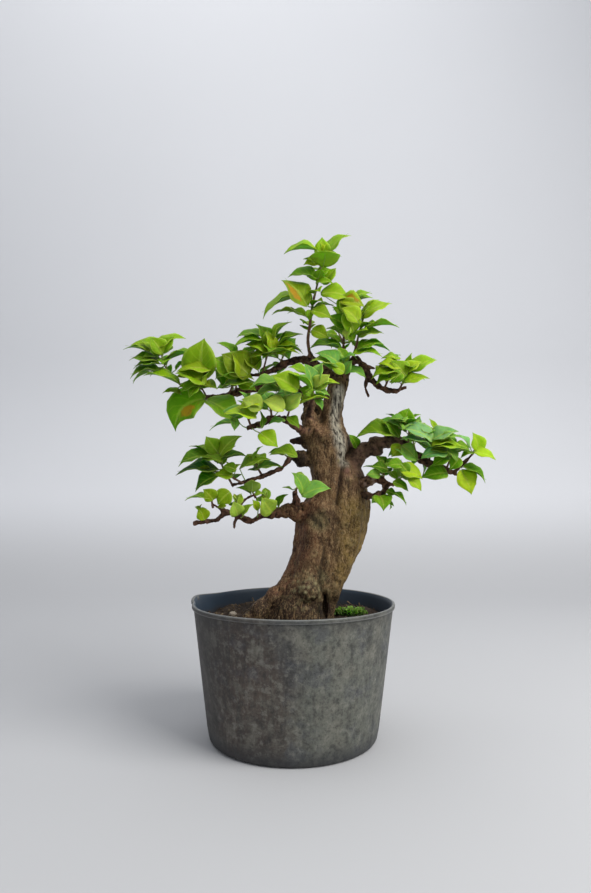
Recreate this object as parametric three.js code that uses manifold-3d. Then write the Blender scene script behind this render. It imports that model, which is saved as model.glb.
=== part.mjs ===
// Bougainvillea bonsai in a round plastic nursery pot.
// A thick trunk, grown from several strands that ran together, stands in potting soil. Short woody arms
// carry leafy shoots in flat shelves to the left and right, a low pad in front and a thin leader on top.
// Millimetres, +Z up, -Y is the front. The origin is the middle of the pot's flat underside.

import * as THREE from 'three';
import { mergeVertices } from 'three/addons/utils/BufferGeometryUtils.js';
import Module from 'manifold-3d';

const wasm = await Module();
wasm.setup();

// ---------------------------------------------------------------------- driving dimensions

const POT = {
  rimRadius: 100, // outside of the rolled lip
  baseRadius: 82,
  height: 129,
  wall: 1.8,
  floor: 2.4,
  lip: 1.3, // how far the lip stands out from the wall
  lipHeight: 4,
  lipRound: 0.8,
  footRound: 7,
  sides: 40,
  drainHoles: 6,
  drainRadius: 6,
  drainSides: 8,
  drainCircle: 52,
};
const GAP = 0.35; // air left between neighbours that touch on the real plant
const SOIL = {
  top: 112,
  mound: 3,
  crumble: 1.4, // the small bumps between the mounds
  bank: { at: [58, 18], rise: 3, spread: 900 }, // where the weeds and the stones lie
  sides: 40,
  shoulder: 8, // the packed band against the wall, under the top
  rings: [0.8, 0.52], // shares of the radius
};

const FINISH = {
  pot: [0x3b3d3b, 0.55], // colour and roughness
  soil: [0x33271f, 0.95],
  wood: [0x6d5240, 0.85],
  stone: [0x7b6350, 0.9],
  weed: [0x557d2b, 0.7],
  leaf: [0x5d9a25, 0.5],
};

// ---------------------------------------------------------------------- solids and booleans

// A closed three.js geometry as a manifold solid.
function solid(geometry) {
  const bare = new THREE.BufferGeometry();
  bare.setAttribute('position', geometry.getAttribute('position').clone());
  if (geometry.index) bare.setIndex(geometry.index.clone());
  const merged = mergeVertices(bare, 1e-4);
  return new wasm.Manifold(new wasm.Mesh({
    numProp: 3,
    vertProperties: new Float32Array(merged.attributes.position.array),
    triVerts: new Uint32Array(merged.index.array),
  }));
}

// The geometry of a manifold solid.
function geometryOf(manifold) {
  const mesh = manifold.getMesh();
  const places = new Float32Array(mesh.numVert * 3);
  for (let i = 0; i < mesh.numVert; i++) {
    for (let k = 0; k < 3; k++) places[i * 3 + k] = mesh.vertProperties[i * mesh.numProp + k];
  }
  return new THREE.BufferGeometry()
    .setAttribute('position', new THREE.BufferAttribute(places, 3))
    .setIndex(new THREE.BufferAttribute(new Uint32Array(mesh.triVerts), 1));
}

const unite = (solids) => solids.reduce((whole, next) => whole.add(next));

// The piece of a cut solid with the most wood or leaf in it. The scraps are dropped.
function largest(manifold) {
  const bodies = manifold.decompose();
  return bodies.reduce((best, body) => (body.volume() > best.volume() ? body : best));
}

// A closed skin over rings of points, all with the same number, and flat at both ends.
// A last ring of one point is a tip.
function skin(rings) {
  const places = rings.flat().flatMap((p) => [p.x, p.y, p.z]);
  const faces = [];
  const n = rings[0].length;
  const tipped = rings.at(-1).length === 1;
  const spans = rings.length - (tipped ? 2 : 1);
  for (let r = 0; r < spans; r++) {
    for (let i = 0; i < n; i++) {
      const a = r * n + i;
      const b = r * n + ((i + 1) % n);
      faces.push(a, b, b + n, a, b + n, a + n);
    }
  }
  const last = spans * n;
  for (let i = 0; i < n && tipped; i++) faces.push(last + i, last + ((i + 1) % n), last + n);
  for (let i = 1; i + 1 < n; i++) {
    faces.push(0, i + 1, i);
    if (!tipped) faces.push(last, last + i, last + i + 1);
  }
  return new THREE.BufferGeometry()
    .setAttribute('position', new THREE.BufferAttribute(new Float32Array(places), 3))
    .setIndex(faces);
}

// A repeatable stream of numbers from 0 to 1.
function draws(seed) {
  let state = seed * 7919 + 17;
  return () => {
    state = (state * 16807) % 2147483647;
    return state / 2147483647;
  };
}

const UP = new THREE.Vector3(0, 0, 1);
const FRONT = new THREE.Vector3(0, -1, 0);
const point = ([x, y, z]) => new THREE.Vector3(x, y, z);
const mix = (a, b, t) => a.clone().lerp(b, t);
const mixed = THREE.MathUtils.lerp;

// ---------------------------------------------------------------------- pot

// The outside of the tapered wall at a height.
const wallAt = (z) => POT.baseRadius + (POT.rimRadius - POT.lip - POT.baseRadius) * (z / POT.height);

// The wall, floor and rolled lip are one turned profile. The drain holes are drilled through the floor.
function potSolid() {
  const { rimRadius, baseRadius, height, wall, floor, lipHeight, lipRound, footRound } = POT;
  const profile = [
    [0, 0],
    [baseRadius - footRound, 0],
    [baseRadius - footRound * 0.3, footRound * 0.3],
    [wallAt(footRound), footRound],
    [wallAt(height - lipHeight), height - lipHeight],
    [rimRadius, height - lipHeight + lipRound],
    [rimRadius, height - lipRound],
    [rimRadius - lipRound, height],
    [wallAt(height) - wall, height],
    [wallAt(footRound) - wall, footRound + floor],
    [baseRadius - footRound, floor],
    [0, floor],
  ].map(([r, z]) => new THREE.Vector2(r, z));
  const turned = new THREE.LatheGeometry(profile, POT.sides).rotateX(Math.PI / 2);
  let pot = solid(turned);
  for (let i = 0; i < POT.drainHoles; i++) {
    const angle = (i / POT.drainHoles) * 2 * Math.PI;
    const drill = new THREE.CylinderGeometry(POT.drainRadius, POT.drainRadius, 3 * floor, POT.drainSides)
      .rotateX(Math.PI / 2)
      .translate(POT.drainCircle * Math.cos(angle), POT.drainCircle * Math.sin(angle), floor / 2);
    pot = pot.subtract(solid(drill));
  }
  return pot;
}

// ---------------------------------------------------------------------- soil

// The height of the uneven top of the soil.
function soilHeight(x, y) {
  const { at, rise, spread } = SOIL.bank;
  return SOIL.top
    + SOIL.mound * Math.sin(x / 23 + 0.7) * Math.cos(y / 19)
    + SOIL.crumble * Math.sin(x / 7.3 + y / 9.1)
    + rise * Math.exp(-((x - at[0]) ** 2 + (y - at[1]) ** 2) / spread);
}

// The root ball fills the pot. Its rings of points follow the wall below and the mounds above.
function soilSolid() {
  const { baseRadius, wall, floor, footRound } = POT;
  const inside = (z) => wallAt(z) - wall - GAP;
  const ring = (radius, heightAt) => Array.from({ length: SOIL.sides }, (_, i) => {
    const angle = Math.PI / 2 + (i / SOIL.sides) * 2 * Math.PI;
    const x = radius * Math.cos(angle);
    const y = radius * Math.sin(angle);
    return new THREE.Vector3(x, y, heightAt(x, y));
  });
  const under = floor + GAP;
  const shoulder = SOIL.top - SOIL.shoulder;
  const edge = inside(shoulder);
  const rings = [
    ring(baseRadius - 1.6 * footRound, () => under),
    ring(inside(footRound) - wall, () => under + footRound),
    ring(edge, () => shoulder),
    ring(edge - 2 * GAP, (x, y) => soilHeight(x, y) - 2),
    ...SOIL.rings.map((share) => ring(edge * share, soilHeight)),
    [new THREE.Vector3(0, 0, SOIL.top)],
  ];
  return solid(skin(rings));
}

// ---------------------------------------------------------------------- wood

// The trunk's sections from the buried stump to the broken top: [height, left, right, front, back].
const TRUNK = [
  [58, -8, 14, -10, 10],
  [84, -20, 30, -21, 21],
  [106, -29, 41, -27, 26],
  [118, -29, 42, -27, 26],
  [130, -24, 44, -26, 26],
  [141, -19, 48, -26, 25],
  [151, -12, 51, -25, 25],
  [166, -4, 57, -25, 26],
  [181, 0, 65, -25, 27],
  [196, 2, 71, -26, 28],
  [211, 3, 76, -27, 29],
  [226, 9, 77, -26, 29],
  [242, 17, 73, -25, 28],
  [257, 16, 69, -23, 26],
  [273, 14, 63, -21, 24],
  [288, 12, 58, -19, 22],
  [303, 19, 51, -14, 20],
  [319, 27, 49, -9, 18],
  [335, 32, 53, -7, 16],
  [350, 38, 57, -4, 14],
  [360, 43, 57, 0, 10],
];
// The strands that ran together still show as ridges.
const FLUTES = { sides: 18, count: 5, depth: 0.05, twist: 42 };

// A limb is a row of [x, y, z, radius] points.
const ARMS = {
  root_left: [[-57, -12, 98, 4], [-46, -10, 110, 7], [-34, -8, 120, 10], [-20, -6, 133, 13],
    [-4, -4, 148, 14], [8, -3, 168, 11]],
  stub: [[22, 2, 284, 12], [17, -2, 300, 9], [15, -4, 313, 7.5], [15.5, -4, 323, 7], [16, -4, 329, 5.5]],
  low_left: [[14, -6, 213, 12], [2, -10, 217, 8.5], [-6, -14, 218, 6.5], [-14, -17, 217, 5],
    [-21, -20, 215, 4], [-30, -24, 214, 3.3], [-40, -27, 209, 3], [-49, -30, 212, 2.7],
    [-63, -33, 217, 2.5], [-72, -34, 211, 2.3], [-83, -37, 209, 2.1], [-94, -40, 207, 1.9]],
  low_spur: [[1, -12, 217, 5], [3, -17, 227, 4], [2, -21, 234, 3.2], [3, -23, 238, 2]],
  low_twig_left: [[-62, -33, 216, 2.2], [-69, -36, 221, 1.7], [-76, -40, 225, 1.4]],
  low_twig_right: [[-50, -29, 212, 2.2], [-51, -23, 224, 1.7], [-45, -18, 231, 1.6],
    [-38, -15, 234, 1.4]],
  low_drop: [[-53, -31, 213, 2.2], [-56, -32, 206, 1.6], [-56, -33, 202, 1]],
  mid_left: [[26, 0, 268, 9], [12, -4, 270, 8.5], [5, -6, 271, 6.5], [0, -9, 271, 4], [-5, -12, 268, 3],
    [-11, -15, 261, 2.6], [-23, -20, 255, 2.4], [-36, -24, 250, 2.1], [-49, -28, 246, 1.9],
    [-60, -28, 243, 1.5]],
  knob_left: [[20, 0, 291, 8], [6, -3, 289, 5], [0, -5, 288, 4], [-2, -5, 286, 3]],
  front_arm: [[18, -4, 296, 8], [9, -14, 298, 5.5], [2, -23, 301, 4.4], [-7, -34, 306, 3.6],
    [-19, -44, 306, 3], [-32, -50, 299, 2.8], [-43, -56, 296, 2.4]],
  front_twig: [[16, -8, 304, 4.5], [15, -18, 312, 3], [17, -30, 322, 2.3], [19, -38, 332, 1.8]],
  top_left: [[45, 5, 344, 7], [35, 12, 360, 5.5], [22, 17, 371, 5], [8, 18, 376, 4.6],
    [-8, 20, 372, 4.2], [-18, 22, 367, 3.9], [-33, 22, 361, 3], [-46, 20, 359, 2.2]],
  long_left: [[36, 8, 312, 9], [22, 19, 332, 7], [7, 30, 343, 6], [-10, 36, 349, 5.4],
    [-25, 38, 351, 5], [-44, 40, 348, 4.4], [-68, 38, 342, 3.6], [-88, 35, 338, 2.8],
    [-106, 32, 339, 1.9]],
  top_right: [[50, 4, 350, 6], [56, 2, 365, 4.6], [65, 0, 371, 4.2], [72, -4, 362, 3.8],
    [79, -8, 350, 3.5], [92, -10, 339, 3.1], [101, -8, 338, 2.7], [114, -6, 342, 1.9]],
  top_right_drop: [[75, -6, 354, 3], [73, -6, 341, 2], [76, -7, 332, 1.4]],
  leader_foot: [[24, 16, 370, 4], [18, 10, 376, 3], [17, 7, 381, 2.6]],
  crown_foot: [[50, 3, 354, 5], [51, 5, 366, 3], [51, 6, 371, 2.4]],
  fork_foot: [[54, 3, 358, 4], [60, 0, 370, 2.8], [61, -1, 374, 2.2]],
  right_arm: [[52, 2, 258, 14], [63, -1, 270, 11.5], [73, -4, 279, 9.5], [84, -6, 284, 8],
    [96, -10, 287, 6.5], [104, -13, 287, 5.6], [112, -16, 281, 5], [121, -18, 272, 4.6],
    [132, -20, 265, 4.1], [144, -20, 260, 3.5], [160, -18, 254, 2.6]],
  right_twig: [[157, -18, 255, 2.4], [165, -18, 263, 2], [173, -20, 271, 1.6], [176, -21, 275, 1.4]],
  loop: [[62, -8, 242, 8], [71, -16, 247, 4.6], [80, -22, 249.5, 3.8], [87, -25, 246, 3.5],
    [89, -27, 240, 3.3], [84, -28, 234.5, 3], [77, -26, 235, 2.2]],
  loop_twig: [[87, -25, 246, 2.8], [92, -28, 244, 2.3], [97, -30, 244, 1.9]],
  back_arm: [[38, 10, 296, 8], [40, 30, 308, 5.6], [38, 48, 317, 4], [34, 64, 321, 2.8],
    [30, 72, 322, 2]],
};
const ROOTS = {
  left: [[-34, -8, 116, 8], [-54, -14, 98, 6], [-60, -14, 56, 3]],
  front: [[2, -12, 104, 10], [-18, -40, 96, 7], [-24, -52, 58, 3]],
  back_left: [[-8, 12, 104, 10], [-36, 36, 96, 6.5], [-46, 48, 56, 3]],
  back_right: [[22, 14, 104, 10], [46, 38, 96, 6.5], [56, 50, 54, 3]],
  right: [[30, -4, 104, 8], [52, -12, 90, 5], [56, -10, 50, 3]],
};
const HOLLOW = { at: [35, -22, 124], size: [5, 12, 15] }; // the dark gap beside the thin right-hand root
const BURL = { at: [14, -22, 142], size: [11, 8, 11] };
const LUMPS = 0.05;

// Rings round a smooth line through a limb's points, a little lumpy so that no two sections are alike.
function limb(route, sides, steps, lumps, grow = 0) {
  const curve = new THREE.CatmullRomCurve3(route.map(point), false, 'centripetal');
  const spans = route.length - 1;
  const rings = [];
  let across = null;
  for (let j = 0; j <= steps; j++) {
    const t = j / steps;
    const along = curve.getTangent(t);
    if (!across) across = new THREE.Vector3(0, 1, 0.01).cross(along).normalize();
    across = across.clone().addScaledVector(along, -across.dot(along)).normalize();
    const deep = along.clone().cross(across);
    const k = Math.min(Math.floor(t * spans), spans - 1);
    const radius = mixed(route[k][3], route[k + 1][3], t * spans - k) + grow;
    const centre = curve.getPoint(t);
    if (j === 0) centre.addScaledVector(along, -grow);
    if (j === steps) centre.addScaledVector(along, grow);
    rings.push(Array.from({ length: sides }, (_, i) => {
      const angle = (i / sides) * 2 * Math.PI;
      const swell = 1 + lumps * (Math.sin(3 * angle + 5.1 * t) + Math.sin(2 * angle - 7.7 * t + spans));
      return centre.clone()
        .addScaledVector(across, radius * swell * Math.cos(angle))
        .addScaledVector(deep, radius * swell * Math.sin(angle));
    }));
  }
  return solid(skin(rings));
}

// The trunk: fluted ovals between the four edges of each section.
function trunkSolid(grow) {
  const ring = ([z, left, right, front, back], j) => Array.from({ length: FLUTES.sides }, (_, i) => {
    const angle = (i / FLUTES.sides) * 2 * Math.PI;
    const swell = 1 + FLUTES.depth * (Math.cos(FLUTES.count * angle + z / FLUTES.twist) - 0.4);
    const end = j === 0 ? -grow : j === TRUNK.length - 1 ? grow : 0;
    return new THREE.Vector3(
      (left + right) / 2 + ((right - left) / 2 + grow) * swell * Math.cos(angle),
      (front + back) / 2 + ((back - front) / 2 + grow) * swell * Math.sin(angle),
      z + end,
    );
  });
  return solid(skin(TRUNK.map(ring)));
}

const ball = ({ at, size }, grow = 0) => solid(new THREE.IcosahedronGeometry(1, 1)
  .scale(...size.map((s) => s + grow))
  .translate(...at));

// The whole woody plant in one solid, or the same plant swollen by grow for cutting clearances.
function woodSolid(grow = 0) {
  const parts = [trunkSolid(grow), ball(BURL, grow)];
  for (const route of Object.values(ARMS)) {
    const thick = route[0][3];
    const sides = thick > 9 ? 7 : thick > 4 ? 5 : 4;
    parts.push(limb(route, sides, route.length - 1, LUMPS, grow));
  }
  for (const route of Object.values(ROOTS)) parts.push(limb(route, 4, route.length, LUMPS, grow));
  return unite(parts).subtract(ball(HOLLOW, -grow));
}

// ---------------------------------------------------------------------- leafy shoots

// The front view that the leaves' tips are given in. Its frame is 591 by 893 pixels.
const VIEW = {
  eye: [2.24, -650.6, 234.8],
  tilt: 0.0735, // radians upwards
  middle: [295.5, 446.5], // pixels
  focal: 645, // pixels
};
const SIGHT = {
  chord: 0.9, // a leaf's straight reach in depth, against what its full length would allow
  least: 2, // its least reach in depth
  rounds: 6, // depth and place depend on each other, so they are worked out in turns
};

// Each shoot runs from its place on the wood to its tip. tips are the leaves that stand out, each as
// [u, v, length, facing, towards]. u and v are its tip's pixel in VIEW. facing is 0 for a blade that lies
// flat and 1 for one that hangs with its face to the front. towards is -1 for a leaf that comes forward and
// 1 for one that goes back. more is how many others fill the rosette, and size is their length.
const SHOOTS = [
  { name: 'leader',
    stem: [[17, 8, 378], [15, 4, 393], [17, 2, 408], [20, 0, 430], [24, -2, 447], [28, -4, 464],
      [28, -6, 480]],
    foot: 2.4, more: 4, size: 24, seed: 11,
    tips: [[327, 341, 26, 0.75, -1], [271.5, 313, 44, 0.15, -1], [293, 308, 24, 0.4, -1],
      [328, 325, 28, 0.85, -1], [320, 297, 34, 0.5, 1], [259.5, 314, 52, 0.45, -1],
      [284, 276, 38, 0.8, -1], [338, 268, 30, 0.75, -1], [290.7, 271, 34, 0.55, 1],
      [330, 285, 20, 0.4, -1], [323, 268, 30, 0.8, -1], [304, 258, 26, 0.5, -1], [338.4, 257, 30, 0.6, -1],
      [290, 251, 34, 0.35, -1], [321.6, 237, 28, 0.7, 1], [350.3, 233, 40, 0.55, -1]] },
  { name: 'crown_right', stem: [[51, 5, 368], [52, 8, 391], [53, 10, 407], [59, 8, 427]],
    foot: 2.2, more: 2, size: 26, seed: 21,
    tips: [[332, 328, 30, 0.5, -1], [350, 322, 30, 0.85, -1], [378, 299, 34, 0.4, 1],
      [371.5, 291, 30, 0.5, 1], [314.5, 309, 38, 0.4, 1], [320, 296, 36, 0.6, -1]] },
  { name: 'crown_fork', stem: [[60, 0, 371], [64, -4, 385], [67, -6, 399], [71, -9, 412]],
    foot: 2, more: 2, size: 24, seed: 22,
    tips: [[384, 361, 36, 0.3, -1], [391, 349, 36, 0.12, -1], [383, 336.5, 28, 0.45, -1],
      [399.6, 324, 38, 0.35, -1], [350, 338, 24, 0.5, 1], [394, 300, 38, 0.45, -1], [376, 299, 26, 0.6, 1],
      [362, 300, 28, 0.8, -1]] },
  { name: 'crown_heart', stem: [[52, -2, 352], [49, -10, 367]], more: 1, size: 26, seed: 23,
    tips: [[372.5, 378, 32, 0.3, -1], [312.5, 347, 36, 0.25, 1], [316.5, 351, 32, 0.5, -1],
      [322, 366, 28, 0.7, -1], [347, 347, 26, 0.7, -1], [330, 372, 24, 0.8, -1], [360, 352, 26, 0.5, 1]] },
  { name: 'shelf_right_in', stem: [[91, -10, 340], [98, -12, 355]], more: 1, size: 22, seed: 31,
    tips: [[370, 377, 30, 0.4, -1], [379, 362, 26, 0.45, 1], [393, 356, 26, 0.8, -1],
      [389, 354, 28, 0.3, 1], [401, 386, 20, 0.3, -1]] },
  { name: 'shelf_right_out', stem: [[107, -8, 340], [115, -10, 358]], more: 2, size: 24, seed: 32,
    tips: [[430.5, 377, 30, 0.3, -1], [436.6, 358, 36, 0.6, -1], [411.4, 352.5, 24, 0.5, 1],
      [400, 356, 24, 0.8, -1], [420, 364, 24, 0.4, 1]] },
  { name: 'shelf_left_end', stem: [[-104, 32, 338], [-126, 28, 356], [-137, 24, 372], [-140, 22, 385]],
    bare: 0.5, more: 2, size: 26, seed: 41,
    tips: [[173, 388, 24, 0.3, 1], [143.5, 371, 32, 0.4, -1], [132, 382, 36, 0.2, -1],
      [128, 374.5, 36, 0.5, -1], [128, 356.5, 34, 0.3, -1], [190, 352, 34, 0.35, 1],
      [185.5, 335, 34, 0.5, -1], [130, 343.5, 34, 0.6, -1], [124, 345.5, 38, 0.1, 1]] },
  { name: 'shelf_left_big', stem: [[-92, 30, 337], [-100, 10, 354]], more: 1, size: 26, seed: 42,
    tips: [[173, 429.5, 48, 0.95, -1], [163, 393, 30, 0.3, -1], [175, 368, 34, 0.75, -1],
      [203.5, 336, 46, 0.9, -1], [222, 392, 30, 0.4, 1], [185, 392, 24, 0.6, -1]] },
  { name: 'shelf_left_mid', stem: [[-70, 34, 340], [-56, 14, 364]], more: 2, size: 26, seed: 43,
    tips: [[230, 418, 38, 0.7, -1], [225, 388, 30, 0.4, -1], [215, 353, 38, 0.85, -1],
      [250, 352, 28, 0.6, -1], [260, 366, 24, 0.5, 1], [218, 342, 32, 0.4, 1]] },
  { name: 'shelf_left_in', stem: [[-33, 20, 360], [-24, 6, 388]], bare: 0.4, more: 1, size: 26, seed: 44,
    tips: [[255, 386, 30, 0.5, -1], [232.7, 345, 38, 0.4, -1], [304, 347, 38, 0.4, -1],
      [236, 335, 36, 0.4, 1], [262, 355, 26, 0.75, -1], [303.6, 334, 36, 0.3, 1], [286, 358, 28, 0.75, -1],
      [256.3, 323.5, 28, 0.6, -1], [289.6, 320, 32, 0.6, -1]] },
  { name: 'shelf_back', stem: [[-16, 24, 369], [-9, 48, 390]], more: 3, size: 28, seed: 45,
    tips: [[262, 340, 34, 0.4, 1], [310, 352, 30, 0.3, 1], [285, 335, 30, 0.5, 1]] },
  { name: 'front_left', stem: [[-39, -54, 297], [-45, -62, 314]], more: 1, size: 24, seed: 51,
    tips: [[208.5, 426.5, 40, 0.15, -1], [234, 431, 22, 0.2, -1], [278.5, 446, 34, 0.9, -1],
      [219, 409, 32, 0.5, -1], [240, 396, 26, 0.8, -1], [256, 396, 26, 0.85, -1],
      [262, 424, 22, 0.4, 1]] },
  { name: 'front_mid', stem: [[-20, -45, 306], [-22, -56, 320]], more: 1, size: 24, seed: 52,
    tips: [[261, 428, 24, 0.7, -1], [248.7, 386.5, 42, 0.45, -1], [284, 396, 28, 0.85, -1],
      [262, 392, 24, 0.6, 1], [285, 423, 24, 0.3, -1], [272, 410, 24, 0.6, -1]] },
  { name: 'front_right', stem: [[-6, -36, 307], [0, -48, 325]], more: 1, size: 24, seed: 53,
    tips: [[299, 427, 24, 0.7, -1], [272, 375, 36, 0.75, -1], [302, 394, 24, 0.8, -1],
      [288, 384, 24, 0.7, -1], [301, 404, 26, 0.4, -1]] },
  { name: 'front_heart', stem: [[19, -38, 332], [18, -40, 341]], more: 1, size: 24, seed: 54,
    tips: [[330, 397, 30, 0.15, -1], [287.5, 371, 32, 0.2, -1], [331, 395, 24, 0.5, -1],
      [339, 383.5, 32, 0.3, -1], [318, 361, 30, 0.7, -1], [300, 368, 28, 0.6, 1],
      [322, 372, 26, 0.5, 1]] },
  { name: 'arm_left_low', stem: [[-50, -29, 246], [-66, -31, 254], [-82, -32, 258]],
    more: 1, size: 24, seed: 61,
    tips: [[236, 482, 24, 0.7, -1], [253, 470, 30, 0.25, -1], [216, 482, 22, 0.6, -1],
      [194, 491, 30, 0.35, -1], [174.5, 472, 34, 0.25, -1]] },
  { name: 'arm_left_top', stem: [[-59, -27, 244], [-68, -25, 260], [-74, -24, 276]],
    bare: 0.45, more: 1, size: 24, seed: 62,
    tips: [[189, 446, 38, 0.1, 1], [176.3, 462.5, 44, 0.5, -1], [247.2, 455.5, 32, 0.2, -1],
      [206.6, 435, 28, 0.75, -1], [241.8, 433.3, 36, 0.6, -1], [203, 461, 26, 0.75, -1],
      [228, 438, 26, 0.5, 1]] },
  { name: 'arm_left_in', stem: [[-30, -21, 252], [-38, -24, 266]], more: 1, size: 24, seed: 63,
    tips: [[281, 466, 30, 0.2, -1], [240, 458, 28, 0.35, -1], [262, 450, 26, 0.5, 1]] },
  { name: 'arm_left_knob', stem: [[-3, -10, 270], [-8, -16, 273]], more: 1, size: 20, seed: 64,
    tips: [[269, 459, 28, 0.35, -1], [300, 444, 22, 0.4, 1]] },
  { name: 'low_tip', stem: [[-82, -38, 209], [-87, -42, 218]], more: 1, size: 14, seed: 71,
    tips: [[197.5, 508, 16, 0.6, -1], [213, 514, 14, 0.6, -1]] },
  { name: 'low_left', stem: [[-76, -40, 224], [-77, -41, 230]], more: 1, size: 18, seed: 72,
    tips: [[184.2, 498, 28, 0.08, -1], [228, 492, 22, 0.85, -1], [203, 488.5, 20, 0.8, -1],
      [216, 487, 16, 0.6, 1]] },
  { name: 'low_mid', stem: [[-54, -31, 214], [-54, -34, 228]], more: 1, size: 16, seed: 73,
    tips: [[228, 500, 18, 0.7, -1], [247, 507, 20, 0.5, -1], [241, 498, 16, 0.7, -1]] },
  { name: 'low_right', stem: [[-38, -15, 233], [-41, -17, 239]], more: 1, size: 16, seed: 74,
    tips: [[236.3, 486.5, 20, 0.12, -1], [252, 479, 18, 0.9, -1], [264, 492, 18, 0.3, -1]] },
  { name: 'low_in', stem: [[-24, -22, 218], [-28, -26, 231]], more: 1, size: 18, seed: 75,
    tips: [[275, 498, 20, 0.85, -1], [254, 510, 20, 0.4, -1], [286, 492.5, 24, 0.5, -1]] },
  { name: 'low_heart', stem: [[2, -23, 237], [6, -31, 246]], more: 1, size: 18, seed: 76,
    tips: [[282.4, 486.6, 20, 0.08, -1], [329.5, 487, 34, 0.45, -1], [292.7, 472, 26, 0.75, -1],
      [306, 480, 18, 0.5, 1]] },
  { name: 'right_in', stem: [[102, -14, 291], [105, -20, 304]], more: 1, size: 26, seed: 81,
    tips: [[354, 433.5, 46, 0.6, -1], [383, 418.5, 30, 0.6, -1], [391, 452, 28, 0.7, -1],
      [386, 413.5, 30, 0.1, 1]] },
  { name: 'right_top', stem: [[113, -18, 284], [114, -22, 303]], more: 2, size: 26, seed: 82,
    tips: [[400, 462, 28, 0.8, -1], [416, 447, 26, 0.4, -1], [427, 438, 32, 0.7, -1],
      [399, 424, 26, 0.7, -1], [408.5, 407.5, 28, 0.8, -1], [422, 420, 26, 0.5, 1]] },
  { name: 'right_mid', stem: [[133, -21, 268], [134, -25, 288]], more: 2, size: 26, seed: 83,
    tips: [[424, 481, 32, 0.6, -1], [446, 464, 30, 0.6, -1], [416, 452, 28, 0.7, -1],
      [459, 429.5, 38, 0.6, -1], [436, 419, 30, 0.6, 1], [436, 467, 28, 0.85, -1],
      [415, 436, 28, 0.5, 1]] },
  { name: 'right_far', stem: [[150, -20, 260], [158, -23, 280]], more: 2, size: 24, seed: 84,
    tips: [[436, 482, 28, 0.6, -1], [461, 468, 26, 0.6, -1], [472, 440, 28, 0.5, -1],
      [446, 434, 26, 0.5, 1]] },
  { name: 'right_end', stem: [[176, -21, 275], [178, -22, 279]], more: 1, size: 20, seed: 85,
    tips: [[497, 460, 30, 0.55, -1], [476, 432.5, 24, 0.75, -1], [463, 444, 20, 0.4, 1]] },
  { name: 'right_under', stem: [[159, -18, 254], [169, -22, 250]], more: 1, size: 22, seed: 86,
    tips: [[487.5, 482, 34, 0.12, -1], [472.5, 495, 32, 0.9, -1], [447, 478, 20, 0.4, 1]] },
  { name: 'loop_left', stem: [[87, -25, 246], [88, -26, 260]], more: 1, size: 22, seed: 91,
    tips: [[370, 462, 20, 0.7, -1], [376, 458, 22, 0.5, 1], [396, 458, 26, 0.6, -1],
      [371, 474, 18, 0.5, -1]] },
  { name: 'loop_right', stem: [[97, -30, 244], [104, -32, 251]], more: 1, size: 24, seed: 92,
    tips: [[407, 503, 30, 0.2, -1], [408.5, 491, 24, 0.5, -1], [422, 490, 28, 0.7, -1],
      [424, 477, 26, 0.6, -1], [396, 466, 24, 0.7, -1]] },
  { name: 'loop_low', stem: [[86, -28, 236], [89, -34, 227]], more: 1, size: 16, seed: 93,
    tips: [[383, 510, 18, 0.9, -1], [374, 503, 14, 0.6, -1], [396, 494, 18, 0.4, -1]] },
  { name: 'back_arm', stem: [[32, 70, 322], [30, 78, 342]], more: 4, size: 24, seed: 94,
    tips: [] },
  { name: 'crown_back', stem: [[52, 8, 391], [48, 36, 410]], more: 3, size: 25, seed: 95,
    tips: [] },
  { name: 'shelf_left_back', stem: [[-62, 38, 344], [-64, 62, 366]], more: 4, size: 27, seed: 96,
    tips: [] },
  { name: 'right_back', stem: [[121, -18, 272], [124, 16, 290]], more: 4, size: 27, seed: 97,
    tips: [] },
];
const LEAF = {
  widthShare: 0.66, // of the blade's length
  broadShare: 0.78, // on blades that face the front
  stalkShare: 0.2, // of the whole leaf
  longestBlade: 42,
  stalkRadius: 0.45,
  rib: 0.75, // the midrib's depth under the leaf's middle line
  rise: 0.6, // the blade's height over that line
  arch: 0.13,
  roll: 0.7,
  stations: [0, 0.3, 0.66], // shares of the blade, then its tip
};
const STEM = { foot: 1.5, tip: 1.15, sides: 3, bare: 0.15, leafy: 0.95 };
const GOLDEN_ANGLE = 2.39996;
const SETTLE = { rounds: 24, clear: 3.6, fromWood: 2.4, step: 1.3, aside: 0.4, reach: 30 };

// Half the blade's width at share s of its length, against its widest, which lies at a share of 0.35.
// The base is round and the tip drawn out.
const taper = (s) => s ** 0.7 * (1 - s) ** 1.3;
const outline = (s) => Math.max(0.24 * (1 - s), taper(s) / taper(0.35));

// The place at depth y that stands at pixel [u, v] of VIEW.
function seenAt(u, v, y) {
  const across = (u - VIEW.middle[0]) / VIEW.focal;
  const up = (VIEW.middle[1] - v) / VIEW.focal;
  const forward = Math.cos(VIEW.tilt) - Math.sin(VIEW.tilt) * up;
  const rise = Math.sin(VIEW.tilt) + Math.cos(VIEW.tilt) * up;
  const reach = (y - VIEW.eye[1]) / forward;
  return new THREE.Vector3(VIEW.eye[0] + across * reach, y, VIEW.eye[2] + rise * reach);
}

// Where the tip of a leaf of this length comes, from its root, when it stands at pixel [u, v].
function tipSeen(root, u, v, length, towards) {
  let tip = seenAt(u, v, root.y);
  for (let round = 0; round < SIGHT.rounds; round++) {
    const shown = Math.hypot(tip.x - root.x, tip.z - root.z);
    const depth = SIGHT.chord * Math.sqrt(Math.max(length ** 2 - shown ** 2, SIGHT.least ** 2));
    tip = seenAt(u, v, root.y + towards * depth);
  }
  return tip;
}

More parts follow.
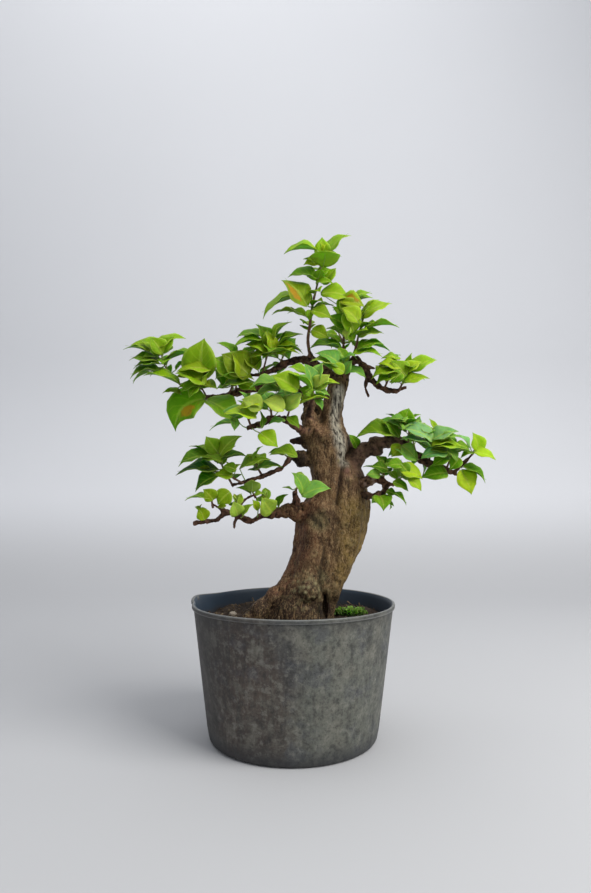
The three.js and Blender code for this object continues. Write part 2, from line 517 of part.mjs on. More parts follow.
// The leaves of a shoot as { root, tip, facing, roll, width }.
function leavesOf(shoot) {
  const next = draws(shoot.seed);
  const spreadBy = (range) => (next() - 0.5) * range;
  const stem = new THREE.CatmullRomCurve3(shoot.stem.map(point), false, 'centripetal');
  const { bare = STEM.bare } = shoot;
  const leaves = [];
  shoot.tips.forEach(([u, v, length, facing, towards], i) => {
    const share = mixed(bare, STEM.leafy, i / (shoot.tips.length - 1));
    const root = stem.getPointAt(share);
    leaves.push({ root, tip: tipSeen(root, u, v, length, towards), facing });
  });
  for (let k = 0; k < shoot.more; k++) {
    const share = mixed(bare, STEM.leafy, (k + 0.5) / shoot.more);
    const turn = GOLDEN_ANGLE * k * 0.5 * (k % 2 ? 1 : -1) + spreadBy(0.8);
    const lift = 0.25 + 0.5 * share + spreadBy(0.3);
    const length = shoot.size * (1.15 - 0.3 * share) * (1 + spreadBy(0.2));
    const root = stem.getPointAt(share);
    const axis = stem.getTangentAt(share);
    const backward = new THREE.Vector3(0, 1, 0).addScaledVector(axis, -axis.y).normalize();
    const sideways = axis.clone().cross(backward);
    const outward = backward.multiplyScalar(Math.cos(turn)).addScaledVector(sideways, Math.sin(turn));
    const tip = root.clone()
      .addScaledVector(outward, length * Math.cos(lift))
      .addScaledVector(axis, length * Math.sin(lift));
    leaves.push({ root, tip, facing: 0.25 + 0.3 * next() });
  }
  leaves.forEach((leaf) => {
    leaf.shoot = shoot.name;
    leaf.roll = spreadBy(LEAF.roll);
    leaf.width = 1 + spreadBy(0.16);
  });
  return leaves;
}

// A leaf's arched middle line, the way its blade lies, its stalk's share of the line and half its width.
function layOf({ root, tip, facing, roll, width }) {
  const chord = tip.clone().sub(root);
  const length = chord.length();
  const along = chord.divideScalar(length);
  const face = mix(UP, FRONT, facing).applyAxisAngle(along, roll);
  const side = along.clone().cross(face).normalize();
  const bow = mix(root, tip, 0.5).addScaledVector(side.clone().cross(along), 2 * LEAF.arch * length);
  const stalk = Math.max(LEAF.stalkShare, 1 - LEAF.longestBlade / length);
  const share = mixed(LEAF.widthShare, LEAF.broadShare, facing);
  const half = (length * (1 - stalk) * share * width) / 2;
  return { line: new THREE.QuadraticBezierCurve3(root, bow, tip), side, stalk, half };
}

// Points on a blade's midrib and near both of its margins, four along it.
function feelers(leaf) {
  const { line, side, stalk, half } = layOf(leaf);
  const points = [];
  for (const s of [0.15, 0.4, 0.65, 0.88]) {
    const centre = line.getPoint(stalk + s * (1 - stalk));
    const reach = half * outline(s);
    for (const share of [-0.9, 0, 0.9]) points.push(centre.clone().addScaledVector(side, share * reach));
  }
  return points;
}

// Round by round, leaves that come too close swing apart about their stalks, mostly in depth, and off
// the wood.
function settle(leaves, knots) {
  for (let round = 0; round < SETTLE.rounds; round++) {
    const felt = leaves.map(feelers);
    const middles = felt.map((points) => points[4]);
    const pushes = leaves.map(() => new THREE.Vector3());
    const push = (i, away) => {
      const way = new THREE.Vector3(away.x * SETTLE.aside, away.y, away.z * SETTLE.aside);
      if (way.length() > 1e-6) pushes[i].addScaledVector(way.normalize(), SETTLE.step);
    };
    for (let i = 0; i < leaves.length; i++) {
      for (let k = i + 1; k < leaves.length; k++) {
        if (middles[i].distanceTo(middles[k]) > SETTLE.reach) continue;
        const near = Math.min(...felt[i].map((p) => Math.min(...felt[k].map((q) => p.distanceTo(q)))));
        if (near > SETTLE.clear) continue;
        const away = middles[i].clone().sub(middles[k]);
        push(i, away);
        push(k, away.negate());
      }
      for (const { at, radius, shoot } of knots) {
        if (shoot === leaves[i].shoot) continue;
        const near = felt[i].reduce((best, p) => (p.distanceTo(at) < best.distanceTo(at) ? p : best));
        if (near.distanceTo(at) < radius + SETTLE.fromWood) push(i, near.clone().sub(at));
      }
    }
    leaves.forEach((leaf, i) => {
      const { root, tip } = leaf;
      const length = tip.distanceTo(root);
      tip.add(pushes[i].clampLength(0, 2 * SETTLE.step)).sub(root).setLength(length).add(root);
    });
  }
}

// One leaf with its stalk: three-sided sections along its line, flat above and keeled along the midrib.
function leafSolid(leaf, grow = 0) {
  const { line, side, stalk, half } = layOf(leaf);
  const section = (t, reach, rise, rib) => {
    const centre = line.getPoint(t).addScaledVector(line.getTangent(t), t === 1 ? grow : 0);
    const normal = side.clone().cross(line.getTangent(t));
    const wide = reach + grow;
    const keel = [0, -rib - grow];
    const corners = grow === 0
      ? [[-wide, rise], [wide, rise], keel]
      : [[-wide, rise + grow], [wide, rise + grow], [wide, rise - grow], keel, [-wide, rise - grow]];
    return corners.map(([across, above]) =>
      centre.clone().addScaledVector(side, across).addScaledVector(normal, above));
  };
  const rings = [section(0, LEAF.stalkRadius, LEAF.stalkRadius, LEAF.stalkRadius)];
  LEAF.stations.forEach((s) => {
    const reach = half * outline(s);
    rings.push(section(stalk + s * (1 - stalk), reach, s === 0 ? LEAF.stalkRadius : LEAF.rise, LEAF.rib));
  });
  rings.push(grow === 0 ? [line.getPoint(1)] : section(1, 0, 0, 0));
  return solid(skin(rings));
}

// A shoot's stem with all its leaves in one solid.
function spraySolid(shoot, leaves, grow = 0) {
  const { stem: route, foot = STEM.foot } = shoot;
  const spans = route.length - 1;
  const tapered = route.map((place, i) => [...place, mixed(foot, STEM.tip, i / spans)]);
  const stem = limb(tapered, STEM.sides, spans, 0, grow);
  return unite([stem, ...leaves.map((leaf) => leafSolid(leaf, grow))]);
}

// ---------------------------------------------------------------------- weeds and stones

const WEEDS = { at: [54, 2], spread: [9, 6, 4], count: 12, seed: 5, leaf: 7 };
const STONES = [
  { name: 'stone_brown', at: [62, 24], size: [6, 5, 4] },
  { name: 'stone_pale', at: [-62, 22], size: [4, 3.4, 2.8] },
];

// A low cushion of moss with small round weed leaves standing out of it.
function weedSolid(grow = 0) {
  const next = draws(WEEDS.seed);
  const [cx, cy] = WEEDS.at;
  const ground = soilHeight(cx, cy);
  const parts = [ball({ at: [cx, cy, ground], size: WEEDS.spread }, grow)];
  for (let i = 0; i < WEEDS.count; i++) {
    const angle = GOLDEN_ANGLE * i;
    const reach = Math.sqrt((i + 0.5) / WEEDS.count) * 0.75;
    const out = new THREE.Vector3(Math.cos(angle) * reach, Math.sin(angle) * reach, 0.9);
    const root = new THREE.Vector3(WEEDS.spread[0] * out.x, WEEDS.spread[1] * out.y, 0.5);
    root.add(new THREE.Vector3(cx, cy, ground));
    const tip = root.clone().addScaledVector(out, WEEDS.leaf * (0.9 + 0.3 * next()));
    parts.push(leafSolid({ root, tip, facing: 0.5, roll: (next() - 0.5) * 2, width: 1.3 }, grow));
  }
  return unite(parts);
}

const stoneSolid = ({ at, size }, grow = 0) =>
  ball({ at: [...at, soilHeight(...at) + size[2] * 0.25], size }, grow);

// ---------------------------------------------------------------------- assembly

const group = new THREE.Group();

function addPart(name, manifold, [color, roughness]) {
  const material = new THREE.MeshStandardMaterial({ color, roughness, metalness: 0, flatShading: true });
  const mesh = new THREE.Mesh(geometryOf(manifold), material);
  mesh.name = name;
  group.add(mesh);
}

// Pot, soil, wood, stones and weeds. The soil leaves room for all that is bedded in it.
const woodRoom = woodSolid(GAP);
const bedded = [woodRoom, weedSolid(GAP), ...STONES.map((stone) => stoneSolid(stone, GAP))];
addPart('pot', potSolid(), FINISH.pot);
addPart('soil', largest(soilSolid().subtract(unite(bedded))), FINISH.soil);
addPart('trunk_and_arms', woodSolid(), FINISH.wood);
STONES.forEach((stone) => addPart(stone.name, stoneSolid(stone), FINISH.stone));
addPart('weeds', largest(weedSolid().subtract(woodRoom)), FINISH.weed);

// Points that the leaves keep off: along the trunk's middle line, every arm's and the other shoots' stems.
const knots = TRUNK.map(([z, left, right, front, back]) => ({
  at: new THREE.Vector3((left + right) / 2, (front + back) / 2, z),
  radius: Math.min(right - left, back - front) / 2,
}));

function addKnots(route, shares, radiusAt, shoot) {
  for (let k = 0; k + 1 < route.length; k++) {
    for (const share of shares) {
      const at = mix(point(route[k]), point(route[k + 1]), share);
      knots.push({ at, radius: radiusAt(k, share), shoot });
    }
  }
}

for (const route of Object.values(ARMS)) {
  addKnots(route, [0, 0.5], (k, share) => mixed(route[k][3], route[k + 1][3], share));
}
SHOOTS.forEach(({ name, stem }) => addKnots(stem, [0.25, 0.5, 0.75, 1], () => STEM.foot, name));

const sprays = SHOOTS.map((shoot) => ({ shoot, leaves: leavesOf(shoot) }));
settle(sprays.flatMap(({ leaves }) => leaves), knots);

// Where a leaf still touches the wood or an earlier spray, it gives way.
const placed = [];
for (const { shoot, leaves } of sprays) {
  let spray = spraySolid(shoot, leaves).subtract(woodRoom);
  const box = spray.boundingBox();
  for (const other of placed) {
    const apart = [0, 1, 2].some((k) => box.min[k] > other.box.max[k] || box.max[k] < other.box.min[k]);
    if (!apart) spray = spray.subtract(other.room);
  }
  placed.push({ box, room: spraySolid(shoot, leaves, GAP) });
  addPart(`spray_${shoot.name}`, largest(spray), FINISH.leaf);
}

export default group;
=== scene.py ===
# Bougainvillea bonsai in a round plastic nursery pot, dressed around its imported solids.
# Metres, +Z up, -Y is the front. Sizes are written in millimetres, and MM turns them into metres.
import math

import bmesh
import bpy
import numpy as np
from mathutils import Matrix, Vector, noise
from mathutils.bvhtree import BVHTree


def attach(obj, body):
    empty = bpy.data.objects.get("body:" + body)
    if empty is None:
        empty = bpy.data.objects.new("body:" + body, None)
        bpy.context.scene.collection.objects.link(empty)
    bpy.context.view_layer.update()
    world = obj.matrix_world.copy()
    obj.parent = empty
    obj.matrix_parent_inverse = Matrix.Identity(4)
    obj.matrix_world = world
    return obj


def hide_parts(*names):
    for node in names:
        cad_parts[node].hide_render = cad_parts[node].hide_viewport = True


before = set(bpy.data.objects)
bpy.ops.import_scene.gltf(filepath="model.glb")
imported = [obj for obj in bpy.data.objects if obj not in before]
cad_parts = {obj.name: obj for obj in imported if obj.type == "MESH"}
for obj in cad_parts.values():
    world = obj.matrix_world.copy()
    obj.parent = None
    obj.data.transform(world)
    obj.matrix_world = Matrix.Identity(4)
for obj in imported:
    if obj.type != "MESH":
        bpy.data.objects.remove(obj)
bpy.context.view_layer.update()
MM = 0.001

# ---- The room: camera, backdrop and light ----
# The bonsai stands on a pale floor that sweeps up into a pale wall. A wide soft light hangs above it, well
# to the right and in front, another washes down the wall, and the room gives an even glow.

CAMERA_AT = (2.2, -650.6, 234.8)
CAMERA_PITCH_UP = 4.21  # degrees
CAMERA_LENS = 26.0
bpy.ops.object.camera_add(
    location=[MM * c for c in CAMERA_AT],
    rotation=(math.radians(90 + CAMERA_PITCH_UP), 0, 0),
)
camera = bpy.context.object
camera.data.lens = CAMERA_LENS
bpy.context.scene.camera = camera

FLOOR_WIDTH = 8.0
FLOOR_FRONT = -3.0
WALL_AT = 1.5
SWEEP_RADIUS = 0.7
SWEEP_STEPS = 12
WALL_HEIGHT = 3.5
ROOM_COLOUR = (0.66, 0.67, 0.70)
FLOOR_COLOUR = (0.45, 0.455, 0.47)


def select_only(*objects):
    """Leaves just these objects selected, with the first one active."""
    if bpy.context.mode != "OBJECT":
        bpy.ops.object.mode_set(mode="OBJECT")
    bpy.ops.object.select_all(action="DESELECT")
    for item in objects:
        item.select_set(True)
    bpy.context.view_layer.objects.active = objects[0]


middle_y = (FLOOR_FRONT + WALL_AT - SWEEP_RADIUS) / 2
bpy.ops.object.select_all(action="DESELECT")
bpy.ops.mesh.primitive_plane_add(size=1, location=(0, middle_y, 0))
backdrop = bpy.context.object
backdrop.name = "backdrop"
backdrop.scale = (FLOOR_WIDTH, WALL_AT - SWEEP_RADIUS - FLOOR_FRONT, 1)
bpy.ops.object.transform_apply(location=True, rotation=True, scale=True)
for edge in backdrop.data.edges:
    edge.select = all(backdrop.data.vertices[v].co.y > middle_y for v in edge.vertices)
for vertex in backdrop.data.vertices:
    vertex.select = vertex.co.y > middle_y
for polygon in backdrop.data.polygons:
    polygon.select = False
bpy.ops.object.mode_set(mode="EDIT")
bpy.ops.mesh.select_mode(type="EDGE")
for step in range(SWEEP_STEPS):
    low, high = (math.pi / 2 * s / SWEEP_STEPS for s in (step, step + 1))
    rise = SWEEP_RADIUS * (math.cos(low) - math.cos(high))
    back = SWEEP_RADIUS * (math.sin(high) - math.sin(low))
    bpy.ops.mesh.extrude_region_move(TRANSFORM_OT_translate={"value": (0, back, rise)})
bpy.ops.mesh.extrude_region_move(TRANSFORM_OT_translate={"value": (0, 0, WALL_HEIGHT - SWEEP_RADIUS)})
bpy.ops.object.mode_set(mode="OBJECT")
bpy.ops.object.shade_smooth()

world = bpy.data.worlds.new("room_glow")
world.use_nodes = True
world.node_tree.nodes["Background"].inputs["Color"].default_value = (0.92, 0.95, 1.0, 1)
world.node_tree.nodes["Background"].inputs["Strength"].default_value = 0.42
bpy.context.scene.world = world

LIGHTS = {  # place and lit point in metres, size in metres, watts, colour
    "sky_panel": ((1.05, -0.75, 1.25), (0.0, 0.0, 0.26), 1.1, 33, (1.0, 0.985, 0.955)),
    "left_fill": ((-1.5, -0.9, 0.55), (0.0, 0.0, 0.26), 1.1, 2.5, (0.92, 0.96, 1.0)),
    "wall_wash": ((-0.3, 0.55, 2.7), (-0.1, 1.5, 0.7), 2.2, 26, (1.0, 1.0, 1.0)),
}
for name, (place, lit_point, size, watts, colour) in LIGHTS.items():
    bpy.ops.object.light_add(type="AREA", location=place)
    lamp = bpy.context.object
    lamp.name = name
    lamp.rotation_euler = (Vector(lit_point) - Vector(place)).to_track_quat("-Z", "Y").to_euler()
    lamp.data.size = size
    lamp.data.energy = watts
    lamp.data.color = colour
bpy.context.scene.view_settings.view_transform = "Standard"


class Wire:
    """A number or colour that runs through a finish. Arithmetic on it adds Math nodes."""

    def __init__(self, finish, socket):
        self.finish = finish
        self.socket = socket

    def math(self, operation, *others):
        return self.finish.add("Math", {"operation": operation}, [self, *others])

    def __add__(self, other):
        return self.math("ADD", other)

    def __sub__(self, other):
        return self.math("SUBTRACT", other)

    def __rsub__(self, other):
        return self.finish.add("Math", {"operation": "SUBTRACT"}, [other, self])

    def __mul__(self, other):
        return self.math("MULTIPLY", other)

    __radd__ = __add__
    __rmul__ = __mul__


class Finish:
    """A material in the making. One method adds any node, and the others name the kinds used most."""

    def __init__(self, name, **constants):
        self.material = bpy.data.materials.new(name)
        self.material.use_nodes = True
        self.tree = self.material.node_tree
        self.shader = self.tree.nodes["Principled BSDF"]
        for socket, value in constants.items():
            self.shader.inputs[socket.replace("_", " ")].default_value = value

    def add(self, kind, settings=None, sockets=(), output=0):
        """Adds a node. sockets is a list in socket order, or a dict by socket name or number."""
        node = self.tree.nodes.new("ShaderNode" + kind)
        for key, value in (settings or {}).items():
            setattr(node, key, value)
        pairs = sockets.items() if isinstance(sockets, dict) else enumerate(sockets)
        for key, value in pairs:
            self.plug(node.inputs[key], value)
        return Wire(self, node.outputs[output])

    def plug(self, socket, value):
        if isinstance(value, Wire):
            self.tree.links.new(value.socket, socket)
        elif isinstance(value, tuple) and len(value) == 3 and socket.type == "RGBA":
            socket.default_value = (*value, 1)
        else:
            socket.default_value = value

    def place(self, scale=(1, 1, 1)):
        """Object coordinates in metres, stretched by scale."""
        here = self.add("TexCoord", output="Object")
        return self.add("Mapping", {"vector_type": "POINT"}, {"Vector": here, "Scale": scale})

    def axis(self, name):
        return self.add("SeparateXYZ", sockets=[self.place()], output=name)

    def noise(self, scale, detail=4.0, rough=0.5, stretch=(1, 1, 1)):
        sockets = {"Vector": self.place(stretch), "Scale": scale, "Detail": detail, "Roughness": rough}
        return self.add("TexNoise", {}, sockets)

    def cells(self, scale):
        return self.add("TexVoronoi", {}, {"Vector": self.place(), "Scale": scale})

    def step(self, value, low, high):
        """0 where value is under low and 1 over high, eased between. Turned round when low is over high."""
        settings = {"interpolation_type": "SMOOTHSTEP"}
        if low < high:
            return self.add("MapRange", settings, [value, low, high, 0.0, 1.0])
        return self.add("MapRange", settings, [value, high, low, 1.0, 0.0])

    def near(self, at, inner, outer):
        """1 within inner of a point and 0 beyond outer. All are in millimetres."""
        gap = self.add(
            "VectorMath", {"operation": "DISTANCE"}, [self.place(), tuple(MM * c for c in at)], "Value"
        )
        return self.step(gap, MM * outer, MM * inner)

    def blend(self, share, first, second, way="MIX"):
        settings = {"data_type": "RGBA", "blend_type": way}
        return self.add("Mix", settings, {0: share, 6: first, 7: second}, 2)

    def layers(self, base, *coats):
        """Lays (share, colour) coats over a base colour, one after another."""
        for share, colour in coats:
            base = self.blend(share, base, colour)
        return base

    def named(self, attribute, output="Fac"):
        return self.add("Attribute", {"attribute_name": attribute}, output=output)

    def paint(self, colour, roughness, height=None, depth=0.1):
        """Joins the finish up. height is a relief from 0 to 1, and depth is its height in millimetres."""
        self.plug(self.shader.inputs["Base Color"], colour)
        self.plug(self.shader.inputs["Roughness"], roughness)
        if height is not None:
            bump = self.add("Bump", {}, {"Strength": 1.0, "Distance": MM * depth, "Height": height})
            self.tree.links.new(bump.socket, self.shader.inputs["Normal"])
        return self.material


wall_paint = Finish("wall_paint")
wash = wall_paint.noise(1.3, 3.0)
tone = wall_paint.blend(wash, tuple(0.97 * c for c in ROOM_COLOUR), tuple(1.03 * c for c in ROOM_COLOUR))
tone = wall_paint.blend(wall_paint.step(wall_paint.axis("Z"), 0.25, 0.0), tone, FLOOR_COLOUR)
backdrop.data.materials.append(wall_paint.paint(tone, 0.9))

# ---- The pot ----
# A thin injection-moulded nursery pot of black plastic. It is turned from one profile: a rounded foot, a
# tapered wall and a lip rolled outwards, with drain holes in its floor. Dust and lime have stained it.
# Shade on its left side, down its left edge, at its foot and under the lip, and highlights on the lip, are
# painted into its colour.

RIM_RADIUS = 100.0
BASE_RADIUS = 82.0
POT_HEIGHT = 129.0
WALL = 1.8
FLOOR = 2.4
LIP = 1.3
LIP_HEIGHT = 4.0
FOOT_ROUND = 5.0
POT_SIDES = 128
DRAIN = {"holes": 6, "radius": 6.0, "circle": 52.0, "sides": 24}


def wall_at(z):
    """The wall's outer radius at a height."""
    return BASE_RADIUS + (RIM_RADIUS - LIP - BASE_RADIUS) * z / POT_HEIGHT


def foot(inset):
    """Points round the foot's quarter circle, shrunk by inset for the inner side."""
    centre = BASE_RADIUS - FOOT_ROUND
    turns = [math.radians(a) for a in (0, 22, 45, 67, 85)]
    reach = FOOT_ROUND - inset
    return [(centre + reach * math.sin(a), FOOT_ROUND - reach * math.cos(a)) for a in turns]


outside = foot(0.0)
outside += [(wall_at(z), z) for z in (14, 30, 50, 70, 90, 108, 120, POT_HEIGHT - LIP_HEIGHT - 0.4)]
lip_foot = POT_HEIGHT - LIP_HEIGHT
outside += [
    (RIM_RADIUS - 1.0, lip_foot - 0.1),
    (RIM_RADIUS - 0.3, lip_foot + 0.2),
    (RIM_RADIUS, lip_foot + 0.8),
    (RIM_RADIUS - 0.15, lip_foot + 2.0),
    (RIM_RADIUS - 0.05, POT_HEIGHT - 0.9),
    (RIM_RADIUS - 0.4, POT_HEIGHT - 0.25),
    (RIM_RADIUS - 1.1, POT_HEIGHT),
    (RIM_RADIUS - 2.2, POT_HEIGHT - 0.1),
    (RIM_RADIUS - 2.9, POT_HEIGHT - 0.6),
]
inside = [(wall_at(z) - WALL, z) for z in (125, 120, 113, 104, 84, 60, 36, 16)]
inside += reversed([(r, z) for r, z in foot(WALL)])
inside = [(r, max(z, FLOOR)) for r, z in inside]

bpy.ops.object.select_all(action="DESELECT")
bpy.ops.mesh.primitive_circle_add(
    vertices=POT_SIDES, radius=MM * outside[0][0], fill_type="NGON", location=(0, 0, 0)
)
pot = bpy.context.object
pot.name = "nursery_pot"
bpy.ops.object.mode_set(mode="EDIT")
radius, height = outside[0]
for next_radius, next_height in outside[1:] + inside:
    bpy.ops.mesh.extrude_region_move(
        TRANSFORM_OT_translate={"value": (0, 0, MM * (next_height - height))}
    )
    share = next_radius / radius
    bpy.ops.transform.resize(value=(share, share, 1), center_override=(0, 0, 0))
    radius, height = next_radius, next_height
bpy.ops.mesh.select_all(action="SELECT")
bpy.ops.mesh.normals_make_consistent(inside=False)
bpy.ops.object.mode_set(mode="OBJECT")

drills = []
for hole in range(DRAIN["holes"]):
    turn = 2 * math.pi * hole / DRAIN["holes"]
    place = [MM * DRAIN["circle"] * math.cos(turn), MM * DRAIN["circle"] * math.sin(turn), 0]
    bpy.ops.mesh.primitive_cylinder_add(
        vertices=DRAIN["sides"], radius=MM * DRAIN["radius"], depth=MM * 8 * FLOOR, location=place
    )
    drills.append(bpy.context.object)


def modified(piece, kind, **settings):
    """Adds a modifier to a piece, sets it and applies it."""
    select_only(piece)
    bpy.ops.object.modifier_add(type=kind)
    for key, value in settings.items():
        setattr(piece.modifiers[-1], key, value)
    bpy.ops.object.modifier_apply(modifier=piece.modifiers[-1].name)


def cut_away(piece, tools):
    """Cuts the tools out of a piece and removes them."""
    select_only(*tools)
    if len(tools) > 1:
        bpy.ops.object.join()
    tool = bpy.context.object
    modified(piece, "BOOLEAN", object=tool)
    bpy.data.objects.remove(tool)


cut_away(pot, drills)

# The soft wall has gone a little out of round, most of all at the rim, which was pulled out at the left.
PULL = {"at": 2.92, "width": 0.26, "out": 4.6, "up": 2.6}  # radians round from the right, then millimetres
RIM_DIP = 0.35
for vertex in pot.data.vertices:
    x, y, z = vertex.co / MM
    turn = math.atan2(y, x)
    give = (z / POT_HEIGHT) ** 2
    pulled = math.exp(-((turn - PULL["at"]) / PULL["width"]) ** 2) * (z / POT_HEIGHT) ** 9
    wobble = 0.5 * math.sin(2 * turn + 0.6) + 0.35 * math.sin(3 * turn + 2.0) + 0.2 * math.sin(7 * turn)
    share = 1 + (wobble * give - 0.45 * give + PULL["out"] * pulled) / RIM_RADIUS
    vertex.co = Vector((x * share, y * share, z + PULL["up"] * pulled)) * MM
    if z > POT_HEIGHT - 3 * LIP_HEIGHT:
        vertex.co.z += MM * RIM_DIP * (math.sin(2 * turn - 0.8) - 1)
select_only(pot)
bpy.ops.object.shade_smooth_by_angle(angle=math.radians(50))

plastic = Finish("stained_black_plastic", IOR=1.47)
x, z = plastic.axis("X"), plastic.axis("Z")
drift = plastic.noise(13.0, 3.0, 0.55)
blots = plastic.noise(40.0, 5.0, 0.66)
flecks = plastic.noise(140.0, 4.0, 0.70)
grains = plastic.noise(420.0, 3.0, 0.75)
runs = plastic.noise(1.0, 4.0, 0.65, (130, 130, 9))
# side runs from 0 at the pot's left to 1 at its right: brown stain at the left and greenish grey at the
# right, with the left also painted darker as shade, away from the light.
side = plastic.step(x + (drift - 0.5) * 0.16 + (blots - 0.5) * 0.10, -0.046, 0.040)
# Painted shade down the pot's far left edge, streaked by the runs.
painted_left_edge_shade = plastic.step(x + (runs - 0.5) * 0.05, -0.040, -0.084)
# A darker bluish band down the middle of the pot's front, above its lower part.
dark_front_column = plastic.step((x + (drift - 0.5) * 0.10 + 0.002).math("ABSOLUTE"), 0.026, 0.002)
colour = plastic.layers(
    plastic.blend(side, (0.058, 0.040, 0.031), (0.098, 0.103, 0.086)),
    (plastic.near((-28, -92, 66), 4, 46) * 0.45, (0.125, 0.090, 0.062)),
    (dark_front_column * plastic.step(z, 0.045, 0.085) * 0.55, (0.038, 0.042, 0.050)),
    (plastic.step(drift + (blots - 0.5) * 0.9, 0.60, 0.32) * 0.45, (0.034, 0.033, 0.031)),
    (plastic.step(runs, 0.50, 0.70) * 0.36, (0.160, 0.158, 0.138)),
    (plastic.step(runs, 0.49, 0.32) * 0.55, (0.020, 0.019, 0.018)),
    (plastic.step(blots, 0.50, 0.66) * 0.50, (0.050, 0.054, 0.068)),
    (plastic.step(blots, 0.50, 0.34) * 0.45, (0.170, 0.164, 0.132)),
    (plastic.step(flecks, 0.50, 0.66) * 0.50, (0.195, 0.192, 0.164)),
    (plastic.step(flecks, 0.49, 0.32) * 0.65, (0.020, 0.020, 0.019)),
    (plastic.step(grains, 0.52, 0.70) * 0.22, (0.210, 0.208, 0.185)),
    (plastic.step(grains, 0.48, 0.32) * 0.50, (0.014, 0.013, 0.012)),
    (painted_left_edge_shade * 0.65, (0.020, 0.019, 0.018)),
)
specks = plastic.step(plastic.cells(60.0), 0.075, 0.045) * plastic.step(plastic.noise(23.0, 2.0), 0.60, 0.66)
# Darker towards the foot: damp, and painted shade where the light falls off.
low_damp_and_shade = plastic.step(z + (blots - 0.5) * 0.014, 0.020, 0.004)
lip = plastic.step(z, 0.1243, 0.1250)
# The top of the rim is lighter: scuffed wear and a painted highlight.
rim_wear_and_highlight = plastic.step(z + (blots - 0.5) * 0.001, 0.1277, 0.1284)
# A painted highlight along the lower roll of the lip.
painted_lip_highlight = plastic.step(z, 0.1246, 0.1250) * plastic.step(z, 0.1258, 0.1254)
# Painted shade on the wall below the lip.
painted_shade_under_lip = plastic.step(z + (runs - 0.5) * 0.012, 0.112, 0.1238) * (1 - lip)
colour = plastic.layers(
    colour,
    (low_damp_and_shade * 0.70, (0.020, 0.022, 0.026)),
    (painted_shade_under_lip * 0.30, (0.026, 0.026, 0.026)),
    (specks * 0.8, (0.50, 0.49, 0.45)),
    (lip * 0.35, (0.044, 0.045, 0.044)),
    (painted_lip_highlight * 0.45, (0.220, 0.225, 0.215)),
    (rim_wear_and_highlight * 0.45, (0.220, 0.230, 0.225)),
)
relief = grains * 0.5 + flecks * 0.5
pot.data.materials.append(plastic.paint(colour, 0.60 + (blots - 0.5) * 0.3 - lip * 0.12, relief, 0.22))

lining = Finish("black_plastic_painted_sheen", IOR=1.5)
sheen_streaks = lining.noise(30.0, 4.0, 0.6, (1, 1, 0.25))
dust = lining.step(lining.axis("Z") + (sheen_streaks - 0.5) * 0.02, 0.118, 0.110)
# The lining's blue is a painted sheen on black plastic, streaked down the wall; dust lies towards its top.
colour = lining.layers(
    lining.blend(sheen_streaks, (0.010, 0.022, 0.040), (0.030, 0.054, 0.086)),
    (dust * 0.55, (0.050, 0.038, 0.028)),
)
pot.data.materials.append(lining.paint(colour, 0.40 + sheen_streaks * 0.2, sheen_streaks, 0.05))
for polygon in pot.data.polygons:
    outward = Vector((*polygon.center.xy, 0)).dot(Vector((*polygon.normal.xy, 0)))
    polygon.material_index = int(outward < 0 and polygon.center.z < MM * (POT_HEIGHT - 0.8))
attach(pot, "root")
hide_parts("pot")

# ---- The soil ----
# Dark potting soil fills the pot to 17 mm below its lip: peat and bark that has set into crumbs, drier and
# paler at the left, with straw on top. It was packed round the trunk by hand, so its top is mounded.

SOIL_TOP = 112.0
SOIL_MOUND = 3.0
SOIL_CRUMBLE = 1.4
CLOD_HEIGHT = 1.9
CRUMB_HEIGHT = 1.3
SOIL_BANK = {"at": (58, 18), "rise": 3.0, "spread": 900.0}
CLEARANCE = 0.35
SOIL_CELLS = 150
SOIL_EDGE = wall_at(SOIL_TOP - 8) - WALL - CLEARANCE


def soil_height(x, y):
    """The mounded top of the soil, before its crumbs."""
    at, rise, spread = SOIL_BANK["at"], SOIL_BANK["rise"], SOIL_BANK["spread"]
    return (
        SOIL_TOP
        + SOIL_MOUND * math.sin(x / 23 + 0.7) * math.cos(y / 19)
        + SOIL_CRUMBLE * math.sin(x / 7.3 + y / 9.1)
        + rise * math.exp(-((x - at[0]) ** 2 + (y - at[1]) ** 2) / spread)
    )


def piece_of(work, name):
    """Turns mesh work into a new object and frees the work."""
    mesh = bpy.data.meshes.new(name)
    work.to_mesh(mesh)
    work.free()
    piece = bpy.data.objects.new(name, mesh)
    bpy.context.collection.objects.link(piece)
    return piece


def draws(seed):
    """A repeatable stream of numbers from 0 to 1, each a fixed multiple of the last, wrapped round."""
    state = seed * 7919 + 17
    while True:
        state = state * 16807 % 2147483647
        yield state / 2147483647


# The top is a fine grid, trimmed to the wall. Its rim is drawn down to the floor as the root ball's side.
bpy.ops.object.select_all(action="DESELECT")
bpy.ops.mesh.primitive_grid_add(
    x_subdivisions=SOIL_CELLS, y_subdivisions=SOIL_CELLS, size=2 * MM * SOIL_EDGE,
    location=(0, 0, MM * SOIL_TOP)
)
soil = bpy.context.object
soil.name = "potting_soil"
for vertex in soil.data.vertices:
    x, y = vertex.co.xy / (MM * SOIL_EDGE)
    # A square grid pressed round: its rows become rings near the wall.
    round_x = x * math.sqrt(1 - y * y / 2)
    round_y = y * math.sqrt(1 - x * x / 2)
    vertex.co.x, vertex.co.y = MM * SOIL_EDGE * round_x, MM * SOIL_EDGE * round_y
bpy.ops.object.transform_apply(location=True, rotation=True, scale=True)
for vertex in soil.data.vertices:
    x, y, _ = vertex.co / MM
    spot = Vector((x, y, 0))
    clods = CLOD_HEIGHT * (noise.fractal(spot / 9, 1.0, 2.0, 4) + 0.1)
    crumbs = CRUMB_HEIGHT * (0.55 - noise.voronoi(spot / 3.4)[0][0])
    edge = max(0.0, math.hypot(x, y) / SOIL_EDGE - 0.93) / 0.07
    vertex.co.z = MM * (soil_height(x, y) + clods + crumbs - 1.5 * edge)
select_only(soil)
bpy.ops.object.mode_set(mode="EDIT")
